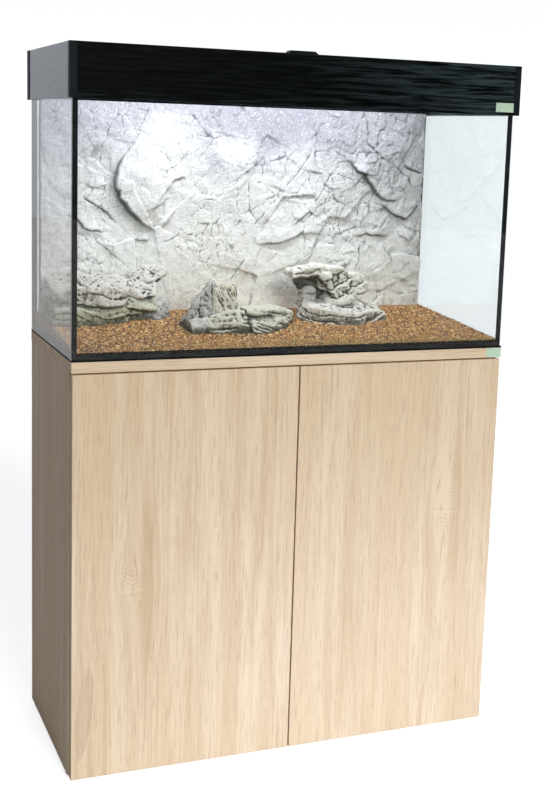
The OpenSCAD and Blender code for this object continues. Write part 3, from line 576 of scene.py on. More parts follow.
# The rock face is split into big blocks, middling ones and chips, and is more rugged towards its ends.
far_corners = (-400, 740), (400, 1160)
BIG_BLOCKS, MIDDLING_BLOCKS, CHIPS = 58, 260, 900
rng = np.random.default_rng(12)
sway = np.stack([grain(room, 60, 3, 11), grain(room, 60, 3, 21)], 1) * 7
big = rng.uniform(*far_corners, (BIG_BLOCKS, 2))
lean, border, level = plates(flat + sway, big, 3)
small = rng.uniform(*far_corners, (CHIPS, 2))
chip, chip_border, chip_level = plates(flat + sway * 0.7, small, 9)

open_part = np.clip(grain(room, 90, 2, 31) * 3 + 0.3, 0, 1)
rugged = np.clip((flat[:, 0] - 120) / 120, 0, 1) + 0.7 * np.clip((-230 - flat[:, 0]) / 60, 0, 1)
relief = 10.5 + 4.5 * grain(room, 230, 3, 41) + 0.03 * lean + 0.9 * level
relief += (0.03 + 0.03 * rugged) * chip + (0.3 + 0.9 * rugged) * chip_level
groove = 0.35 * np.exp(-((border / 1.5) ** 2)) * open_part
jag = np.stack([grain(room, 11, 2, 101), grain(room, 11, 2, 111)], 1) * 2.6
middling = rng.uniform(*far_corners, (MIDDLING_BLOCKS, 2))
block, block_border, block_level = plates(flat * (1, 0.8) + (0, 190) + sway * 0.6 + jag, middling, 15)
split = np.exp(-((block_border / 1.2) ** 2)) * np.clip(grain(room, 70, 2, 141) * 3 + 0.6 * rugged, 0, 1)
crackle = np.exp(-((chip_border / 1.1) ** 2)) * np.clip(grain(room, 80, 2, 161) * 3 + rugged - 0.25, 0, 1)
relief += 0.9 * rugged * block_level + 0.05 * block * rugged
groove = np.maximum(groove, np.maximum(0.9 * split, 0.6 * crackle))
relief -= 1.4 * groove
relief += rugged * 2.6 * grain(room, 55, 3, 171, ridged=True)
# The dark wash, which also serves as painted shade, starts in the grooves and along the chips' borders.
wash = 0.85 * groove + 0.3 * np.exp(-((chip_border / 1.1) ** 2)) * open_part
shade = np.zeros(len(flat))
# Each main crack cuts a groove, lifts the rock on one side of it and lays painted shade on the side below that.
for path, deep, half, rise, reach in CRACKS:
    near, inward = along_crack(flat + sway * 0.35 + jag, path)
    fade = np.clip(inward / 16 + 0.12, 0, 1)
    uneven = np.clip(0.75 + 1.1 * grain(room, 20, 2, int(abs(path[0][0])) + 61), 0.15, 1.3)
    cut = np.exp(-((near / (0.35 + 0.3 * half)) ** 2)) * fade * uneven
    rise = rise * (np.clip((1075 - flat[:, 1]) / 70, 0.25, 0.8) if rise > 12 else 0.7)
    turned = near if np.min(rise) > 0 else -near
    spread = np.clip(inward / min(60.0, 0.45 * sum(math.dist(a, b) for a, b in zip(path, path[1:]))), 0, 1)
    spread = spread * spread * (3 - 2 * spread)
    edge = np.clip(turned / 3.0 + 0.5, 0, 1)
    edge = edge * edge * (3 - 2 * edge)
    lifted = np.abs(rise) * np.where(turned > 0, np.exp(-np.abs(near) / reach), 0) * edge * spread
    relief += lifted - deep * 0.42 * cut
    wash = np.maximum(wash, cut * min(1.0, deep / 5))
    painted_lee_shade = np.where(turned < 0, np.exp(-np.abs(near) / (2.0 + 1.1 * np.abs(rise))), np.exp(-np.abs(near) / 2))
    shade = np.maximum(shade, painted_lee_shade * fade * np.minimum(1.0, np.abs(rise) / 13))
relief += 1.15 * grain(room, 13, 4, 71) + 1.0 * grain(room, 30, 4, 81, ridged=True)
# The deepest and the highest places are pressed in softly, so that the relief keeps to its room.
relief = 2.5 + (relief - 2.5) * np.where(relief < 2.5, 0.35, 1)
room_deep = wall_deep * 1000 - backing - 1
relief = np.where(relief > room_deep - 5, room_deep - 5 + 5 * np.tanh((relief - room_deep + 5) / 5), relief)
relief = np.clip(relief, 0.5, room_deep)

# The dark wash, partly painted shade, also settles where the face lies deeper than its surroundings.
grid = relief.reshape(wall_cols + 1, wall_rows + 1)
blurred = grid.copy()
for _ in range(14):
    padded = np.pad(blurred, 1, mode="edge")
    blurred = (padded[:-2, 1:-1] + padded[2:, 1:-1] + padded[1:-1, :-2] + padded[1:-1, 2:]) / 4
hollow = np.clip((blurred - grid).ravel() / 2.2, 0, 1)
wash = np.clip(np.maximum(wash, 0.6 * hollow), 0, 1)

# The two upright edges are a little ragged.
ragged = np.clip(np.abs(flat[:, 0]) / 389 - 0.97, 0, 1) / 0.03 * (1.5 + 1.5 * grain(room, 30, 3, 91))
face_x = flat[:, 0] / 1000 - np.sign(flat[:, 0]) * np.abs(ragged) / 1000
face_y = wall_high.y - (backing + relief) / 1000
wall_points, faces = solid_field(
    np.stack([face_x, face_y, flat[:, 1] / 1000], 1), wall_cols, wall_rows,
    (1, 0, 1), (0, wall_high.y, 0), (0, wall_high.y, (wall_low.z + wall_high.z) / 2))

painted = Finish("painted_foam_rock")
where = painted.place()
x, z = painted.axes()[::2]
crack_wash_and_shade = painted.node("Attribute", {"attribute_name": "wash"}, {}, 2)
painted_lee_shade = painted.node("Attribute", {"attribute_name": "shade"}, {}, 2)
cloud = painted.noise(where, 9, 4, 0.6)
speck = painted.noise(where, 260, 4, 0.72)
fine = painted.noise(where, 700, 3, 0.7)
veins = painted.noise(painted.place((1.25, 1.0, 0.8), rotation=(0, 0.7, 0)), 105, 5, 0.7, 2.5)
colour = painted.mix(tone(234, 234, 236), tone(251, 251, 252), cloud.step(0.34, 0.58))
# Painted shade: the top of the face, under the cover, is darker and violet-grey, more so to the right.
painted_top_shade = (cloud * 0.35 + z).step(1.16, 1.31) * (0.75 + 0.2 * x.step(-0.20, 0.10))
colour = painted.mix(colour, tone(170, 165, 179), painted_top_shade)
# Four painted pools of light, paler patches on the upper middle of the face, run into each other.
painted_light_pools = -1.5
sway_x, sway_z = x + 0.09 * (cloud - 0.5), z + 0.12 * (painted.noise(where, 16, 3, 0.6) - 0.5)
for pool_x, pool_z, wide, high in ((-0.155, 1.032, 0.078, 0.092), (-0.068, 0.916, 0.055, 0.055),
                                   (0.005, 0.985, 0.055, 0.036), (-0.012, 1.078, 0.045, 0.030)):
    light_pool = 1.0 - ((sway_x - pool_x) / wide) ** 2.0 - ((sway_z - pool_z) / high) ** 2.0
    painted_light_pools = light_pool.math("MAXIMUM", painted_light_pools)
painted_light_pools = painted_light_pools + (cloud - 0.5) * 3.6
colour = painted.mix(colour, tone(254, 254, 252), painted_light_pools.step(-0.8, 1.3) * 0.85)
# Painted shade: the right end of the face is greyer, more so higher up.
painted_shade_right = (x + cloud * 0.16).step(0.20, 0.42) * (0.25 + 0.35 * z.step(0.84, 1.00))
colour = painted.mix(colour, tone(172, 175, 174), painted_shade_right)
# Painted light: the face is paler low down, where the lamp's light is weak.
colour = painted.mix(colour, tone(254, 255, 251), (z + cloud * 0.10).step(1.02, 0.86) * 0.85)
colour = painted.mix(colour, tone(158, 160, 164), speck.step(0.50, 0.66) * 0.4)
colour = painted.mix(colour, tone(160, 162, 165), veins.step(0.53, 0.65) * 0.42)
colour = painted.mix(colour, tone(252, 252, 250), speck.step(0.47, 0.34) * 0.6)
# Painted shade on the low side of the main cracks, below the raised rock.
colour = painted.mix(colour, tone(140, 148, 148), painted_lee_shade.step(0.05, 0.9) * 0.7)
# A dark wash in the cracks and hollows, partly paint and partly painted shade.
colour = painted.mix(colour, tone(84, 90, 90), crack_wash_and_shade.step(0.14, 0.75) * 0.8)
grit = painted.node("Bump", {}, {"Strength": 1.0, "Distance": 0.002, "Height": speck + 0.4 * fine})
rock_paint = painted.surface(
    Base_Color=colour, Roughness=0.62 + 0.25 * speck, Normal=grit, Specular_IOR_Level=0.3)
wall = mesh_piece("rock_wall_relief", wall_points, faces, rock_paint, "cabinet", ["rock_wall"],
                  wall_cols * wall_rows)
mark(wall, "wash", wash)
mark(wall, "shade", shade)


# ---------- gravel ----------
# A bed of rounded brown quartz gravel, 3 to 5 mm, poured on the base pane and raked up towards the back.
# The bed is one skin; loose grains, from dark brown to pale yellow, lie on it.


def gravel_colour(finish, pick):
    """The grains' colours, for a random number from 0 to 1, yellower and greener by the front pane."""
    x, y = finish.axes()[:2]
    stops = [(0.0, tone(64, 42, 22)), (0.20, tone(118, 78, 40)), (0.38, tone(178, 120, 58)),
             (0.58, tone(204, 152, 82)), (0.74, tone(210, 150, 90)), (0.88, tone(234, 196, 128)),
             (1.0, tone(252, 234, 184))]
    colour = finish.node("ValToRGB", {"stops": stops}, {0: pick})
    front = (y + 0.05 * x).step(-0.105, -0.16) * x.step(-0.35, 0.10)
    return finish.mix(colour, tone(150, 132, 62), front * 0.45)


def gravel_level(y):
    """How high the raked gravel lies at the depth y, in millimetres: 23 more at the back than in front."""
    return 747 + 23 * (y + 169) / 326


bed_low, bed_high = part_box("gravel")
pitch = 0.003
bed_cols, bed_rows = int((bed_high.x - bed_low.x) / pitch), int((bed_high.y - bed_low.y) / pitch)
gx, gy = np.meshgrid(np.linspace(bed_low.x, bed_high.x, bed_cols + 1),
                     np.linspace(bed_low.y, bed_high.y, bed_rows + 1), indexing="ij")
flat = np.stack([gx.ravel(), gy.ravel(), np.zeros(gx.size)], 1) * 1000
bed_z = gravel_level(flat[:, 1]) / 1000 - 0.002
bed_z += 0.0014 * grain(flat, 90, 3, 7) + 0.0009 * grain(flat, 9, 2, 17)
bed_top = np.stack([gx.ravel(), gy.ravel(), bed_z], 1)
bed_points, faces = solid_field(bed_top, bed_cols, bed_rows, (1, 1, 0), (0, 0, bed_low.z), (0, 0, bed_low.z))
top_faces = faces[:bed_cols * bed_rows]
under = Finish("gravel_bed")
cells = under.node("TexVoronoi", {}, {"Vector": under.place(), "Scale": 300.0}, 1)
gap = under.node("TexVoronoi", {}, {"Vector": under.place(), "Scale": 300.0}, 0)
pick = under.node("SeparateColor", {}, {0: cells})
# Painted shade: where the bed's cells meet, between the grains, the colour is dark.
colour = under.mix(gravel_colour(under, pick), tone(70, 46, 30), gap.step(0.35, 0.75) * 0.7)
bump = under.node("Bump", {}, {"Strength": 0.8, "Distance": 0.002, "Height": 1.0 - gap})
mesh_piece("gravel_bed", bed_points, faces, under.surface(Base_Color=colour, Roughness=0.75, Normal=bump),
           "cabinet", ["gravel"], len(top_faces))

# The grains: small balls, stretched and turned at random, stand on points spread over the bed.
scatter = bpy.data.node_groups.new("gravel_grains", "GeometryNodeTree")
for label, kind in (("Bed", "Geometry"), ("Spacing", "Float"), ("Grain radius", "Float"), ("Seed", "Int"),
                    ("Finish", "Material")):
    scatter.interface.new_socket(label, in_out="INPUT", socket_type="NodeSocket" + kind)
scatter.interface.new_socket("Grains", in_out="OUTPUT", socket_type="NodeSocketGeometry")


def geometry(tree, kind, settings=None, sockets=None):
    """Adds a node to a geometry tree; sockets take values or other nodes' outputs."""
    made = tree.nodes.new(kind)
    for key, value in (settings or {}).items():
        setattr(made, key, value)
    for key, value in (sockets or {}).items():
        if isinstance(value, bpy.types.NodeSocket):
            tree.links.new(value, made.inputs[key])
        else:
            made.inputs[key].default_value = value
    return made.outputs


given = geometry(scatter, "NodeGroupInput")
spots = geometry(scatter, "GeometryNodeDistributePointsOnFaces", {"distribute_method": "POISSON"}, {
    "Mesh": given["Bed"], "Distance Min": given["Spacing"], "Density Max": 90000.0, "Seed": given["Seed"]})
ball = geometry(scatter, "GeometryNodeMeshIcoSphere", {}, {"Radius": given["Grain radius"], "Subdivisions": 1})
turn = geometry(scatter, "FunctionNodeRandomValue", {"data_type": "FLOAT_VECTOR"},
                {1: (6.28, 6.28, 6.28), "Seed": 3})
shape = geometry(scatter, "FunctionNodeRandomValue", {"data_type": "FLOAT_VECTOR"},
                 {0: (0.65, 0.6, 0.45), 1: (1.25, 1.1, 0.85), "Seed": 4})
placed = geometry(scatter, "GeometryNodeInstanceOnPoints", {}, {
    "Points": spots["Points"], "Instance": ball["Mesh"], "Rotation": turn[0], "Scale": shape[0]})
any_colour = geometry(scatter, "FunctionNodeRandomValue", {"data_type": "FLOAT"}, {"Seed": 5})
coloured = geometry(scatter, "GeometryNodeStoreNamedAttribute", {"data_type": "FLOAT", "domain": "INSTANCE"}, {
    "Geometry": placed["Instances"], "Name": "pick", "Value": any_colour[1]})
solid = geometry(scatter, "GeometryNodeRealizeInstances", {}, {"Geometry": coloured["Geometry"]})
painted_grains = geometry(scatter, "GeometryNodeSetMaterial", {}, {
    "Geometry": solid["Geometry"], "Material": given["Finish"]})
geometry(scatter, "NodeGroupOutput", {}, {"Grains": painted_grains["Geometry"]})


def run_tree(name, host_mesh, tree, values):
    """Runs a geometry tree on a mesh and gives back the result as a plain mesh."""
    host = bpy.data.objects.new(name + "_host", host_mesh)
    scene.collection.objects.link(host)
    modifier = host.modifiers.new("tree", "NODES")
    modifier.node_group = tree
    for item in tree.interface.items_tree:
        if item.in_out == "INPUT" and item.name in values:
            modifier[item.identifier] = values[item.name]
    made = bpy.data.meshes.new_from_object(host.evaluated_get(bpy.context.evaluated_depsgraph_get()))
    made.name = name
    bpy.data.objects.remove(host)
    return made


grain_paint = Finish("gravel_grains")
pick = grain_paint.node("Attribute", {"attribute_name": "pick"}, {}, 2)
mottle = grain_paint.noise(grain_paint.place(), 700, 2, 0.6)
colour = grain_paint.mix(gravel_colour(grain_paint, pick), tone(110, 74, 48), mottle.step(0.52, 0.72) * 0.4)
grain_finish = grain_paint.surface(Base_Color=colour, Roughness=0.5 + 0.3 * mottle)
bed_middle = (bed_low.y + bed_high.y) / 2
halves = ((bed_low.y + 0.004, bed_middle), (bed_middle, bed_high.y - 0.022))
for half, (near_y, far_y) in zip(("front", "back"), halves):
    some = [f for f in top_faces
            if near_y <= bed_top[f[0]][1] < far_y and abs(bed_top[f[0]][0]) < bed_high.x - 0.005]
    strip = bpy.data.meshes.new("strip")
    strip.from_pydata(bed_top.tolist(), [], some)
    grains_mesh = run_tree("gravel_grains_" + half, strip, scatter, {
        "Spacing": 0.0037, "Grain radius": 0.0025, "Seed": 8, "Finish": grain_finish})
    grains_mesh.shade_smooth()
    grains = bpy.data.objects.new("gravel_grains_" + half, grains_mesh)
    scene.collection.objects.link(grains)
    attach(grains, "cabinet")


# ---------- stones ----------
# Layered limestone from a quarry, laid loose in the gravel: a long stack in the left corner, a leaning and
# a standing stone with two small ones at their foot, a thin broken slab, and an arched stone on a ledge
# with a round one under it.


def joined_skin(name, lumps):
    """Joins convex lumps, given by their corners in millimetres, into one piece with a closed, even skin."""
    made = bmesh.new()
    for corners in lumps:
        start = [made.verts.new(Vector(c) / 1000) for c in corners]
        hull = bmesh.ops.convex_hull(made, input=start)
        bmesh.ops.delete(made, geom=list({g for g in hull["geom_interior"] + hull["geom_unused"]
                                          if isinstance(g, bmesh.types.BMVert)}), context="VERTS")
    block_mesh = bpy.data.meshes.new(name)
    made.to_mesh(block_mesh)
    made.free()
    block = bpy.data.objects.new(name, block_mesh)
    scene.collection.objects.link(block)
    joined = block.modifiers.new("skin", "REMESH")
    joined.mode, joined.voxel_size = "VOXEL", 0.0017
    mesh = bpy.data.meshes.new_from_object(block.evaluated_get(bpy.context.evaluated_depsgraph_get()))
    block.modifiers.clear()
    block.data = mesh
    return block


def quarry(name, node, lumps, bedding, layer, depth, seed, finish, stands_for=True):
    """Makes a stone from convex lumps and breaks its surface into layers, which lie square to bedding, and
    chips. The skin keeps three numbers a point: how hollow it is there, how much it faces up, and how high it
    lies over the gravel."""
    block = joined_skin(name, lumps)
    mesh = block.data
    count = len(mesh.vertices)
    points, facing = np.empty(count * 3, np.float32), np.empty(count * 3, np.float32)
    edges = np.empty(len(mesh.edges) * 2, np.int32)
    mesh.edges.foreach_get("vertices", edges)
    edges = edges.reshape(-1, 2)
    links = np.bincount(edges.ravel(), minlength=count)[:, None]

    def soften(values, times):
        """Moves each point's values half way to the mean of its neighbours', so many times."""
        for _ in range(times):
            total = np.stack([np.bincount(edges[:, 0], values[edges[:, 1], k], count)
                              + np.bincount(edges[:, 1], values[edges[:, 0], k], count) for k in range(3)], 1)
            values = 0.5 * values + 0.5 * total / links
        return values

    mesh.vertices.foreach_get("co", points)
    points = soften(points.reshape(-1, 3) * 1000.0, 3)
    mesh.vertices.foreach_set("co", (points / 1000).astype(np.float32).ravel())
    mesh.update()
    mesh.vertex_normals.foreach_get("vector", facing)
    facing = soften(facing.reshape(-1, 3).astype(float), 4)
    facing /= np.linalg.norm(facing, axis=1)[:, None] + 1e-9
    bedding = np.asarray(bedding, float) / np.linalg.norm(bedding)
    height = points @ bedding + 9.0 * grain(points, 70, 2, seed) + 2.4 * grain(points, 16, 2, seed + 5)
    place = height / layer
    number = np.floor(place).astype(int)
    rest = place - number
    steps = np.random.default_rng(seed).uniform(-1, 1, 400)
    gap = np.exp(-((np.minimum(rest, 1 - rest) * layer / 1.3) ** 2))
    side = 1 - np.abs(facing @ bedding) ** 2
    gap *= np.clip(grain(points, 34, 2, seed + 3) * 2.6 + 0.35, 0, 1)
    chips = grain(points, 30, 3, seed + 9, ridged=True)
    push = depth * side * (0.9 * steps[(number + 200) % 400] - 0.9 * gap) + 4.2 * chips
    push += 1.8 * grain(points, 10, 3, seed + 13) + 2.1 * grain(points, 12, 4, seed + 17, ridged=True)
    moved = points + facing * push[:, None]
    # The stone keeps near its node and clear of the left pane.
    low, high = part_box(node)
    room = np.array((3.0, 10.0, 16.0))
    moved = np.clip(moved, np.array(low) * 1000 - room, np.array(high) * 1000 + room)
    moved[:, 0] = np.maximum(moved[:, 0], -391)
    mesh.vertices.foreach_set("co", (moved / 1000).astype(np.float32).ravel())
    mesh.update()
    after = np.empty(count * 3, np.float32)
    mesh.vertex_normals.foreach_get("vector", after)
    after = after.reshape(-1, 3)
    hollow = ((soften(moved, 12) - moved) * after).sum(1) / 1.1
    mesh.shade_smooth()
    mesh.materials.clear()
    mesh.materials.append(finish)
    recess = ((soften(moved, 70) - moved) * after).sum(1) / 3.5
    mark(block, "hollow", np.clip(hollow + np.clip(recess - 0.15, 0, 1), -1, 1))
    mark(block, "up", soften(after.astype(float), 2)[:, 2])
    mark(block, "foot", np.clip((moved[:, 2] - gravel_level(moved[:, 1])) / 30, 0, 1))
    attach(block, "cabinet")
    if stands_for:
        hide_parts(node)


def limestone(name, painted_highlight, body, dark, moss_and_shade, other=None, across=None):
    """Weathered limestone: painted highlights on its upward tops and standing edges, a mottled body,
    and dark moss with painted shade in its hollows and on its undersides.
    other is a second body colour, and across = (axis, from, to) is where it takes over."""
    finish = Finish(name)
    where = finish.place()
    axes = finish.axes()
    hollow = finish.node("Attribute", {"attribute_name": "hollow"}, {}, 2)
    up = finish.node("Attribute", {"attribute_name": "up"}, {}, 2)
    foot = finish.node("Attribute", {"attribute_name": "foot"}, {}, 2)
    cloud = finish.noise(where, 34, 4, 0.6)
    mottle = finish.noise(where, 150, 4, 0.7)
    speck = finish.noise(where, 480, 3, 0.7)
    colour = body
    if other:
        axis, start, end = across
        colour = finish.mix(body, other, (axes[axis] + (cloud - 0.5) * 0.05).step(start, end))
    colour = finish.mix(colour, dark, mottle.step(0.44, 0.62) * 0.8)
    # Painted highlights on tops that face up and on the edges that stand out.
    colour = finish.mix(colour, painted_highlight, (up * 0.5 + cloud).step(0.62, 0.95) * 0.85)
    colour = finish.mix(colour, painted_highlight, (hollow * -1.0 + mottle * 0.4).step(0.20, 0.60) * 0.9)
    colour = finish.mix(colour, moss_and_shade, speck.step(0.54, 0.68) * 0.45)
    # Painted shade in the moss colour: in the hollows and on the faces that turn downwards.
    colour = finish.mix(colour, moss_and_shade, (hollow + (mottle - 0.5) * 0.6).step(0.08, 0.52) * 0.94)
    colour = finish.mix(colour, moss_and_shade, (up + (cloud - 0.5) * 0.6).step(-0.05, -0.5) * 0.85)
    # Low on the sides, near the gravel, the stone turns dark.
    low_edge = (foot + (mottle - 0.5) * 0.5).step(0.50, 0.12) * up.step(0.55, 0.20)
    colour = finish.mix(colour, moss_and_shade, low_edge * 0.75)
    bump = finish.node("Bump", {}, {"Strength": 1.0, "Distance": 0.005, "Height": mottle + 0.5 * speck})
    return finish.surface(Base_Color=colour, Roughness=0.7 + 0.2 * mottle, Normal=bump, Specular_IOR_Level=0.3)


quarry("left_stone", "left_rock", [
    [(-386, 26, 753), (-386, 130, 756), (-386, 26, 788), (-386, 125, 800), (-335, 16, 753), (-300, 22, 753),
     (-250, 46, 755), (-200, 78, 758), (-190, 135, 760), (-350, 20, 789), (-300, 24, 780), (-262, 48, 786),
     (-205, 82, 780), (-200, 135, 790)],
    [(-250, 52, 785), (-240, 58, 799), (-205, 54, 781), (-172, 80, 775), (-168, 92, 789), (-182, 130, 794),
     (-240, 130, 806), (-176, 130, 772)],
], (0.14, -0.16, 1.0), 11.0, 4.2, 21, limestone(
    "left_limestone_low", tone(222, 222, 200), tone(184, 185, 154), tone(124, 128, 96), tone(58, 64, 38),
    tone(192, 190, 196), (0, -0.245, -0.195)))
quarry("left_stone_top", "left_rock", [
    [(-386, 44, 803), (-386, 40, 820), (-386, 120, 836), (-352, 30, 799), (-346, 34, 824), (-318, 36, 798),
     (-312, 44, 818), (-330, 120, 834)],
    [(-330, 26, 797), (-322, 34, 826), (-296, 24, 793), (-262, 40, 792), (-252, 50, 822), (-240, 78, 800),
     (-238, 112, 832), (-256, 130, 838), (-340, 130, 842), (-290, 60, 836), (-250, 120, 800),
     (-330, 120, 800)],
    [(-245, 78, 800), (-242, 84, 822), (-222, 60, 803), (-196, 66, 806), (-184, 86, 822), (-190, 110, 830),
     (-238, 116, 830), (-196, 110, 800), (-236, 116, 796)],
    [(-232, 98, 820), (-206, 88, 826), (-172, 96, 836), (-160, 112, 850), (-164, 132, 852),
     (-200, 138, 852), (-230, 136, 838), (-176, 132, 820)],
], (0.22, -0.10, 1.0), 15.0, 3.4, 27, limestone(
    "left_limestone_top", tone(240, 235, 229), tone(214, 208, 200), tone(160, 157, 142), tone(68, 70, 46),
    tone(202, 202, 206), (0, -0.27, -0.20)), stands_for=False)
quarry("left_stone_end", "left_rock", [
    [(-225, 74, 758), (-185, 64, 757), (-152, 92, 760), (-146, 112, 764), (-190, 72, 778), (-172, 90, 794),
     (-160, 104, 790), (-166, 128, 790), (-205, 120, 778), (-160, 138, 766), (-215, 138, 766),
     (-218, 84, 776)],
], (0.7, -0.3, 0.6), 17.0, 2.0, 33, limestone(
    "left_limestone_end", tone(216, 214, 216), tone(184, 184, 188), tone(146, 146, 150), tone(96, 98, 88)),
    stands_for=False)

quarry("leaning_stone", "middle_rock", [
    [(-176, -24, 750), (-156, -42, 760), (-122, -50, 758), (-118, 10, 752), (-160, 30, 755),
     (-158, -30, 784), (-140, -16, 808), (-110, 2, 834), (-97, 16, 838), (-100, 26, 834), (-112, -30, 792),
     (-100, -20, 806), (-104, -44, 766)],
], (0.75, 0.35, -0.45), 16.0, 2.6, 5, limestone(
    "leaning_limestone", tone(206, 206, 200), tone(160, 161, 156), tone(118, 119, 108), tone(54, 58, 42)),
    stands_for=False)
quarry("standing_stone", "middle_rock", [
    [(-112, -40, 766), (-86, -42, 765), (-70, -38, 764), (-54, -10, 760), (-48, 18, 765), (-108, -22, 812),
     (-97, 0, 838), (-84, 2, 834), (-78, -20, 802), (-98, 36, 830), (-102, 38, 765)],
    [(-88, -10, 800), (-74, -24, 780), (-56, -14, 790), (-52, 10, 826), (-62, 16, 834), (-82, 6, 830),
     (-58, 34, 800), (-50, 18, 768), (-66, -34, 765)],
], (0.95, 0.28, 0.16), 5.5, 1.1, 14, limestone(
    "standing_limestone", tone(238, 232, 216), tone(208, 201, 182), tone(152, 146, 122), tone(54, 60, 40),
    tone(192, 186, 162), (2, 0.790, 0.772)))
slab_finish = limestone("slab_limestone", tone(240, 238, 222), tone(172, 174, 150), tone(96, 101, 70),
                        tone(40, 48, 28))
quarry("foot_stone", "middle_rock", [
    [(-140, -40, 750), (-124, -62, 750), (-85, -72, 750), (-52, -68, 752), (-44, -30, 755),
     (-126, -56, 768), (-118, -46, 782), (-80, -62, 772), (-84, -44, 787), (-50, -60, 774), (-44, -36, 786),
     (-110, -10, 784), (-50, 10, 786), (-46, 14, 756)],
], (0.12, -0.30, 1.0), 9.0, 5.2, 44, slab_finish, stands_for=False)
quarry("corner_stone", "middle_rock", [
    [(-186, -54, 748), (-172, -70, 748), (-146, -72, 751), (-124, -52, 775), (-128, -42, 783),
     (-165, -40, 772), (-178, -46, 761), (-152, -64, 770)],
], (0.3, -0.5, 0.8), 9.0, 2.2, 41, limestone(
    "corner_limestone", tone(228, 228, 222), tone(190, 190, 188), tone(140, 140, 134), tone(52, 56, 38)),
    stands_for=False)

quarry("broken_slab", "slab_rock", [
    [(-68, -76, 751), (-40, -78, 752), (-12, -66, 753), (14, -40, 757), (-64, -66, 764), (-34, -68, 768),
     (-8, -56, 766), (8, -34, 768), (-60, -20, 774), (-10, -10, 774)],
    [(-8, -50, 754), (22, -34, 757), (46, -2, 761), (54, 22, 764), (-4, -44, 768), (20, -28, 771),
     (44, 2, 772), (10, 20, 776), (-20, -10, 776)],
], (0.10, 0.34, 1.0), 7.0, 4.4, 9, slab_finish)
quarry("broken_slab_upper", "slab_rock", [
    [(-66, -34, 782), (-60, -40, 789), (-32, -46, 781), (-30, -42, 789), (0, -34, 782), (4, -30, 788),
     (-10, 10, 792), (-50, 6, 793), (-50, 0, 784)],
    [(-14, -36, 779), (20, -22, 776), (60, 16, 771), (60, 24, 776), (26, -12, 785), (-8, -28, 787),
     (40, 34, 778), (0, 30, 792), (-20, 10, 780)],
], (0.05, 0.25, 1.0), 6.0, 3.0, 19, slab_finish, stands_for=False)

arch_finish = limestone("arched_limestone", tone(254, 251, 244), tone(216, 212, 199), tone(142, 142, 120),
                        tone(48, 54, 34))
quarry("stone_ledge", "right_rock", [
    [(84, 50, 752), (90, 8, 752), (140, -24, 750), (184, -22, 750), (214, 0, 752), (160, 60, 760),
     (110, 108, 764), (84, 36, 781), (94, 12, 786), (138, -17, 779), (180, -16, 774), (208, 6, 776),
     (180, 80, 792), (120, 108, 802), (100, 60, 799)],
    [(180, -12, 751), (214, -4, 752), (256, 18, 756), (262, 50, 760), (248, 118, 764), (176, 100, 764),
     (184, -8, 774), (216, 2, 776), (254, 22, 773), (256, 60, 776), (228, 110, 788), (176, 100, 792)],
    [(140, 10, 774), (170, 2, 776), (212, 14, 776), (226, 50, 778), (200, 80, 796), (150, 70, 800),
     (150, 22, 790), (204, 26, 786)],
], (-0.06, -0.25, 1.0), 14.0, 3.6, 31, arch_finish, stands_for=False)
quarry("arched_stone", "right_rock", [
    [(130, 26, 790), (154, 10, 790), (190, 22, 790), (206, 50, 788), (190, 90, 800), (130, 90, 800),
     (146, 22, 812), (186, 24, 808), (204, 54, 806), (150, 90, 830)],
    [(122, 40, 820), (150, 22, 810), (184, 28, 812), (196, 50, 812), (190, 98, 822), (124, 108, 826),
     (112, 60, 852), (146, 38, 857), (176, 46, 853), (190, 70, 844), (186, 106, 840), (130, 116, 858)],
    [(178, 40, 812), (206, 36, 808), (232, 50, 812), (236, 92, 814), (190, 100, 816), (184, 48, 842),
     (212, 58, 842), (230, 84, 834), (200, 100, 840)],
    [(60, 44, 840), (62, 60, 842), (66, 46, 847), (92, 32, 857), (126, 32, 861), (132, 70, 861),
     (124, 30, 846), (94, 40, 849), (120, 80, 840), (74, 88, 848)],
    [(98, 34, 850), (126, 26, 848), (140, 30, 834), (136, 60, 838), (104, 60, 858), (132, 24, 840)],
    [(112, 28, 850), (132, 22, 824), (150, 14, 798), (162, 28, 790), (150, 60, 800), (128, 70, 830),
     (138, 28, 848)],
], (-0.20, -0.30, 1.0), 16.0, 4.6, 37, arch_finish)
# A dark lump at the back of the hollow under the arch, coloured to stand in for the shade there: painted shade.
quarry("arch_recess_painted_shade", "right_rock", [
    [(80, 66, 838), (86, 62, 822), (104, 58, 806), (128, 50, 798), (146, 48, 800), (148, 52, 838),
     (84, 90, 846), (140, 96, 850), (104, 96, 800), (150, 96, 800), (110, 56, 846)],
], (0.3, 0.2, 1.0), 11.0, 2.2, 53, limestone(
    "painted_shade_limestone", tone(120, 124, 108), tone(74, 80, 60), tone(44, 50, 34), tone(24, 30, 18)),
    stands_for=False)
quarry("round_stone", "right_rock", [
    [(92, 62, 778), (98, 46, 790), (112, 48, 788), (124, 60, 784), (118, 84, 784), (94, 82, 784),
     (96, 52, 812), (110, 50, 818), (124, 62, 812), (116, 84, 814), (96, 82, 812), (108, 70, 823)],
], (0.0, 0.0, 1.0), 26.0, 0.8, 47, limestone(
    "round_limestone", tone(240, 238, 240), tone(218, 215, 216), tone(180, 178, 182), tone(110, 112, 100)),
    stands_for=False)


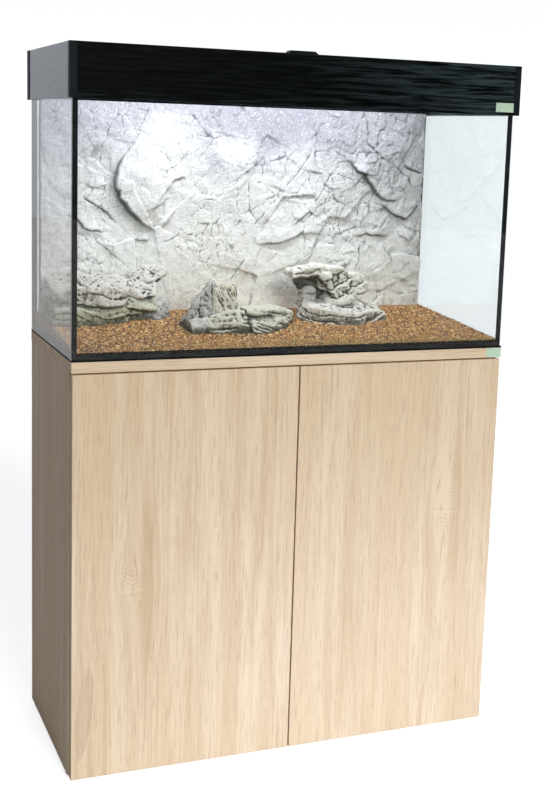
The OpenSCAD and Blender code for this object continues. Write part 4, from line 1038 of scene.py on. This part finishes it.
# ---------- lamp ----------
# A strip of light-emitting diodes behind an opal diffuser in an aluminium channel, hung under the fixed top
# board in two moulded brackets and fed from a socket in the cover's back.
opal = Finish("opal_acrylic")
milky = opal.noise(opal.place(), 30, 3, 0.5)
dress(opal.surface(Base_Color=opal.mix(tone(240, 241, 242), tone(228, 230, 232), milky),
                   Roughness=0.3 + 0.1 * milky, Emission_Color=(0.97, 0.98, 1, 1), Emission_Strength=2.5),
      "lamp_diffuser")
strip = Finish("led_board")
chip_pitch = 0.012
pitch_wave = (strip.axes()[0] * (2 * math.pi / chip_pitch)).math("COSINE")
chips_on = pitch_wave.step(0.55, 0.75)
colour = strip.mix(tone(232, 234, 232), tone(236, 206, 92), chips_on)
dress(strip.surface(Base_Color=colour, Roughness=0.5 - 0.2 * chips_on), "led_strip")
dress(fitting("anodised_aluminium", tone(196, 198, 200), tone(176, 178, 181), 600, 0.38, 1.0, (0.05, 1, 1)),
      "lamp_housing")
low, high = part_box("lamp_diffuser")
add_light("lamp", "AREA", 2.1, (0.96, 0.97, 1.0), ((low.x + high.x) / 2, (low.y + high.y) / 2, low.z - 0.002),
          shape="RECTANGLE", size=high.x - low.x, size_y=high.y - low.y)


# ---------- cover ----------
# Boards 4 mm thick with a black wood-grain laminate, grain lengthways, held in black extruded corner
# profiles and resting on ledges inside the rim. Flap and rear top are the same board on moulded hinges.


def black_board(name, along, sheen, lacquer=0.0):
    """The black wood-grain laminate. along is the grain's axis, and lacquer how strong its clear coat is."""
    finish = Finish(name)
    x, y, z = finish.axes()
    wave = finish.noise(finish.place(), 5, 2, 0.5)
    lay = finish.node("CombineXYZ", {}, {
        0: x * (0.05 if along == 0 else 1.0), 1: y * (0.05 if along == 1 else 1.0), 2: z + 0.010 * wave})
    vein = finish.noise(lay, 210, 4, 0.62, 0.5)
    band = finish.noise(lay, 42, 3, 0.6, 0.8)
    colour = finish.mix(tone(1, 3, 4), tone(8, 15, 18), vein.step(0.44, 0.66))
    colour = finish.mix(colour, tone(40, 50, 54), band.step(0.52, 0.68) * vein.step(0.46, 0.6) * 0.35)
    # Painted sheen: towards the right end the grain is paler.
    painted_sheen = x.step(-0.10, 0.42) * vein.step(0.40, 0.62)
    colour = finish.mix(colour, tone(58, 72, 76), painted_sheen * 0.85)
    bump = finish.node("Bump", {}, {"Strength": 0.5, "Distance": 0.0006, "Height": vein})
    return finish.surface(Base_Color=colour, Roughness=0.24 + 0.2 * vein, Normal=bump, Specular_IOR_Level=sheen,
                          Coat_Weight=lacquer, Coat_Roughness=0.12)


dress(black_board("black_laminate", 0, 0.04), "cover_front", "cover_back", "rear_top", "feeding_flap")
dress(black_board("black_laminate_side", 1, 1.0, 0.5), "cover_left", "cover_right")
black_plastic = Finish("black_plastic")
moulded = black_plastic.noise(black_plastic.place(), 800, 3, 0.6)
drift = black_plastic.noise(black_plastic.place((1, 1, 0.2)), 30, 3, 0.5)
skin = black_plastic.node("Bump", {}, {"Strength": 0.25, "Distance": 0.0003, "Height": moulded})
colour = black_plastic.mix(tone(10, 17, 22), tone(24, 34, 40), (0.4 * moulded + 0.6 * drift).step(0.38, 0.62))
dress(black_plastic.surface(
    Base_Color=colour, Roughness=0.36 + 0.2 * moulded, Normal=skin, Specular_IOR_Level=0.08),
    "corner_profiles", "rim_ledges", "top_battens", "lamp_brackets", "flap_grip", "flap_hinge_leaves",
    "rear_hinge_leaves", "supply_socket")
